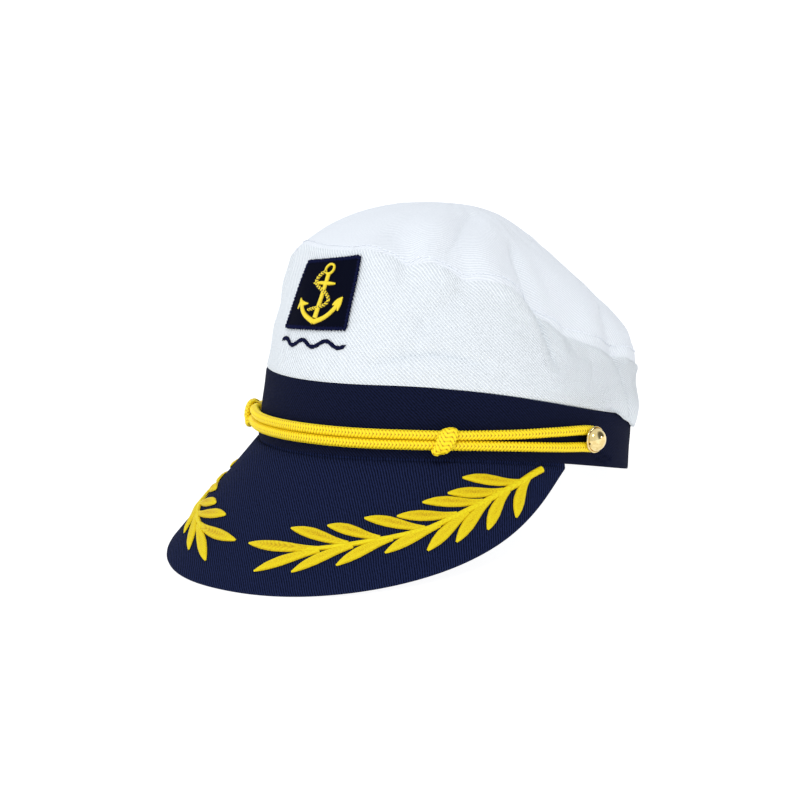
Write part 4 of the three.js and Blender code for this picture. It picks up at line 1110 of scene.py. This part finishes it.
make_piece("badge_patch_cloth", patch_field(), patch_satin, ["badge_patch"], weld=False)
make_piece("badge_border_thread", patch_border(), navy_satin, weld=False)

# %% [markdown]
# Each stroke of the anchor is a row of marks: x, y and width as shares of the anchor's height. A smooth
# line runs through the marks, and satin thread is laid along it, first a dark outline and then yellow.

# %% Anchor and wave
ANCHOR_RING, RING_SQUASH = (-0.045, 0.405, 0.078, 0.045), 1.35
ANCHOR_STROKES = [
    [(-0.04, 0.32, 0.085), (-0.037, 0, 0.08), (-0.037, -0.4, 0.105)],
    [(-0.345, 0.175, 0.03), (-0.165, 0.18, 0.062), (0.065, 0.165, 0.062), (0.205, 0.155, 0.03)],
    [(-0.47, -0.14, 0.08), (-0.42, -0.255, 0.08), (-0.28, -0.365, 0.083), (-0.04, -0.465, 0.093)],
    [(-0.04, -0.465, 0.093), (0.18, -0.39, 0.083), (0.335, -0.27, 0.08), (0.415, -0.14, 0.08)],
    [(-0.565, -0.075, 0.02), (-0.475, -0.16, 0.087), (-0.315, -0.165, 0.02)],
    [(-0.555, -0.255, 0.027), (-0.515, -0.155, 0.067), (-0.565, -0.075, 0.02)],
    [(0.46, -0.07, 0.02), (0.385, -0.14, 0.1), (0.285, -0.19, 0.027)],
    [(0.425, -0.29, 0.027), (0.435, -0.18, 0.073), (0.46, -0.07, 0.02)],
]
ROPE = [
    (-0.1, 0.37, 0.053), (-0.205, 0.335, 0.057), (-0.28, 0.255, 0.057), (-0.275, 0.18, 0.057),
    (-0.18, 0.11, 0.057), (0, 0.03, 0.06), (0.105, -0.04, 0.057), (0.165, -0.115, 0.057),
    (0.115, -0.18, 0.053), (0, -0.22, 0.053), (-0.135, -0.245, 0.053), (-0.245, -0.275, 0.04),
]


def drawn_line(marks, step):
    """A smooth run through marks of x, y and width."""
    marks = np.array(marks, float)
    count = len(marks)
    t = np.linspace(0, count - 1, max(6, int(count * 12)))
    i = np.clip(t.astype(int), 0, count - 2)
    f = column(t - i)
    before, after = marks[np.maximum(i - 1, 0)], marks[np.minimum(i + 2, count - 1)]
    a, b = marks[i], marks[i + 1]
    run = 0.5 * (2 * a + (b - before) * f + (2 * before - 5 * a + 4 * b - after) * f**2
                 + (3 * a - before - 3 * b + after) * f**3)
    _, even = even_path(run, step)
    return even(run)


def worked(marks, wider, lift, height, step=0.12, **style):
    run = drawn_line([[v * ANCHOR_SIZE for v in mark] for mark in marks], step)
    path, outs = front_spot(run[:, 0] + ANCHOR_ACROSS, run[:, 1], lift)
    return satin(path, outs, run[:, 2] + wider, height, cells=7, **style)


def ring_line(wider, lift, height):
    x, y, radius, width = (v * ANCHOR_SIZE for v in ANCHOR_RING)
    a = np.linspace(0, 2 * np.pi, 121)[:-1]
    ring_x = x + ANCHOR_ACROSS + RING_SQUASH * radius * np.cos(a)
    path, outs = front_spot(ring_x, y + radius * np.sin(a), lift)
    return satin(path, outs, np.full(120, width + wider), height, closed=True, cells=7, pitch=0.7)


over = PATCH_THICK + 0.05
anchor, outline = ring_line(0, over + 0.1, 0.85), ring_line(0.9, over, 0.25)
for k, marks in enumerate(ANCHOR_STROKES):
    deeper = 0.9 if k < 4 else 0.75
    anchor += worked(marks, 0.0, over + 0.1, deeper, pitch=0.7, relief=0.12)
    outline += worked(marks, 1.1, over, 0.25, pitch=0.7)
# The rope's turns get deep painted shade between them.
anchor += worked(ROPE, 0.1, over + 0.35, 0.95, pitch=1.7, relief=0.34, depth=1.3, slant=0.6)
outline += worked(ROPE, 1.2, over + 0.05, 0.4, pitch=0.7)
make_piece("anchor_thread", anchor, anchor_satin, ["badge_anchor"], weld=False)
make_piece("anchor_outline", outline, outline_satin, weld=False)

wave_x = np.linspace(-0.5, 0.5, 400) * WAVE_WIDTH
wave_y = 0.033 * WAVE_WIDTH * np.sin((wave_x / WAVE_WIDTH + 0.5) * 6 * np.pi)
wave_path, wave_outs = front_spot(wave_x + WAVE_ACROSS, wave_y - PATCH_HEIGHT / 2 - WAVE_BELOW_PATCH, -0.1)
wave_ends = np.clip((0.5 - np.abs(wave_x / WAVE_WIDTH)) * 30, 0.25, 1)
wave_width = WAVE_LINE * (1 + 0.08 * np.sin(wave_x * 2.1)) * wave_ends
make_piece(
    "wave_thread", satin(wave_path, wave_outs, wave_width, 0.8, pitch=0.8, slant=0.3, relief=0.14, depth=0.5),
    navy_satin, ["crown_wave"], weld=False,
)

# %% [markdown]
# ## Stitches along the crown seam
# A row of short white stitches holds the seam allowance down, just above the seam on the top panel.

# %% Seam stitches
STITCH_STEP, STITCH_LONG, STITCH_THICK, STITCH_LEVEL = 3.2, 2.2, 0.5, 1.028
ring_deg = np.linspace(0, 360, 1441)[:-1]
seam_ring = crown_cloth(ring_deg, np.full(1440, STITCH_LEVEL)) + UP * GAP
at, _ = even_path(seam_ring, STITCH_STEP, True)
stitch_deg = at * 0.25
stitches = []
t = np.linspace(-0.5, 0.5, 7)
for deg in stitch_deg:
    degs = deg + t * STITCH_LONG * DEG_PER_MM * 1.05
    level = np.full(7, STITCH_LEVEL)
    out = normal_of(crown_cloth, degs, level, 0.6, 0.006)
    path = crown_cloth(degs, level) + UP * GAP + out * column(0.18 - 1.1 * t**2)
    spin = np.arange(6) / 6 * 2 * np.pi
    outs, across, run = path_frame(path, out, False)
    ring_grid = (
        path[:, None]
        + across[:, None] * column(np.cos(spin) * STITCH_THICK / 2 + 0 * t[:, None])
        + outs[:, None] * column(np.sin(spin) * STITCH_THICK / 2 + 0 * t[:, None])
    )
    u, v = np.meshgrid(run, np.linspace(0, 1.5, 7), indexing="ij")
    stitches.append(patch_of(ring_grid, np.stack([u, v], -1), True))
white_cotton = thread("white_cotton_thread", [(0.0, "f0f4fa"), (1.0, "c8d0dd")], rough=0.8)
make_piece("seam_stitches", stitches, white_cotton, weld=False, sharp=80)

# %% [markdown]
# ## Floor and light
# The photograph stands on plain white. A wide pale floor that glows a little, so that it stays white in
# the hat's own shade, and a bright soft room come close to it. The room has one darker corner, at the
# back on the wearer's left, with a small lamp in it for the brass to reflect. One soft light, from above
# and in front on the wearer's left, shows the folds and the thread.

# %% Floor and light
FLOOR_GLOW, ROOM_GLOW, CORNER_GLOW, CORNER = 0.93, 1.01, 0.15, (0.68, 0.68, 0.27)
floor_mesh = bpy.data.meshes.new("floor")
floor_mesh.from_pydata([(-8, -8, 0), (8, -8, 0), (8, 8, 0), (-8, 8, 0)], [], [(0, 1, 2, 3)])
floor = bpy.data.objects.new("floor", floor_mesh)
bpy.context.scene.collection.objects.link(floor)
paper, tree = new_material("matt_white_paper")
finish(tree, {}, Base_Color=linear("8c8c8e"), Roughness=0.9, Emission_Color=linear("ffffff"),
       Emission_Strength=FLOOR_GLOW)
floor_mesh.materials.append(paper)

world = bpy.data.worlds.new("soft_room")
world.use_nodes = True
tree = world.node_tree
room = add(tree, "TexCoord").outputs["Generated"]
facing = add(tree, "VectorMath", {0: room, 1: CORNER}, operation="DOT_PRODUCT").outputs["Value"]
fade = {"Value": facing, "From Min": 0.74, "From Max": 0.9, "To Min": ROOM_GLOW, "To Max": CORNER_GLOW}
glow = add(tree, "MapRange", fade)
tree.links.new(glow.outputs[0], tree.nodes["Background"].inputs["Strength"])
tree.nodes["Background"].inputs["Color"].default_value = linear("f6f8fc")
bpy.context.scene.world = world


def area_light(name, place, aim, size, power):
    lamp = bpy.data.lights.new(name, "AREA")
    lamp.shape, lamp.size, lamp.energy = "DISK", size, power
    thing = bpy.data.objects.new(name, lamp)
    thing.location = place
    thing.rotation_euler = (Vector(aim) - Vector(place)).to_track_quat("-Z", "Y").to_euler()
    bpy.context.scene.collection.objects.link(thing)


area_light("key", (0.8, -0.75, 1.4), (0, 0, 0.07), 0.5, 7.0)
area_light("fill", (1.5, 1.3, 0.24), (0, 0, 0.08), 0.26, 3.0)
bpy.context.scene.view_settings.view_transform = "Standard"
print("a floor, a room and", len(bpy.data.lights), "lamps")
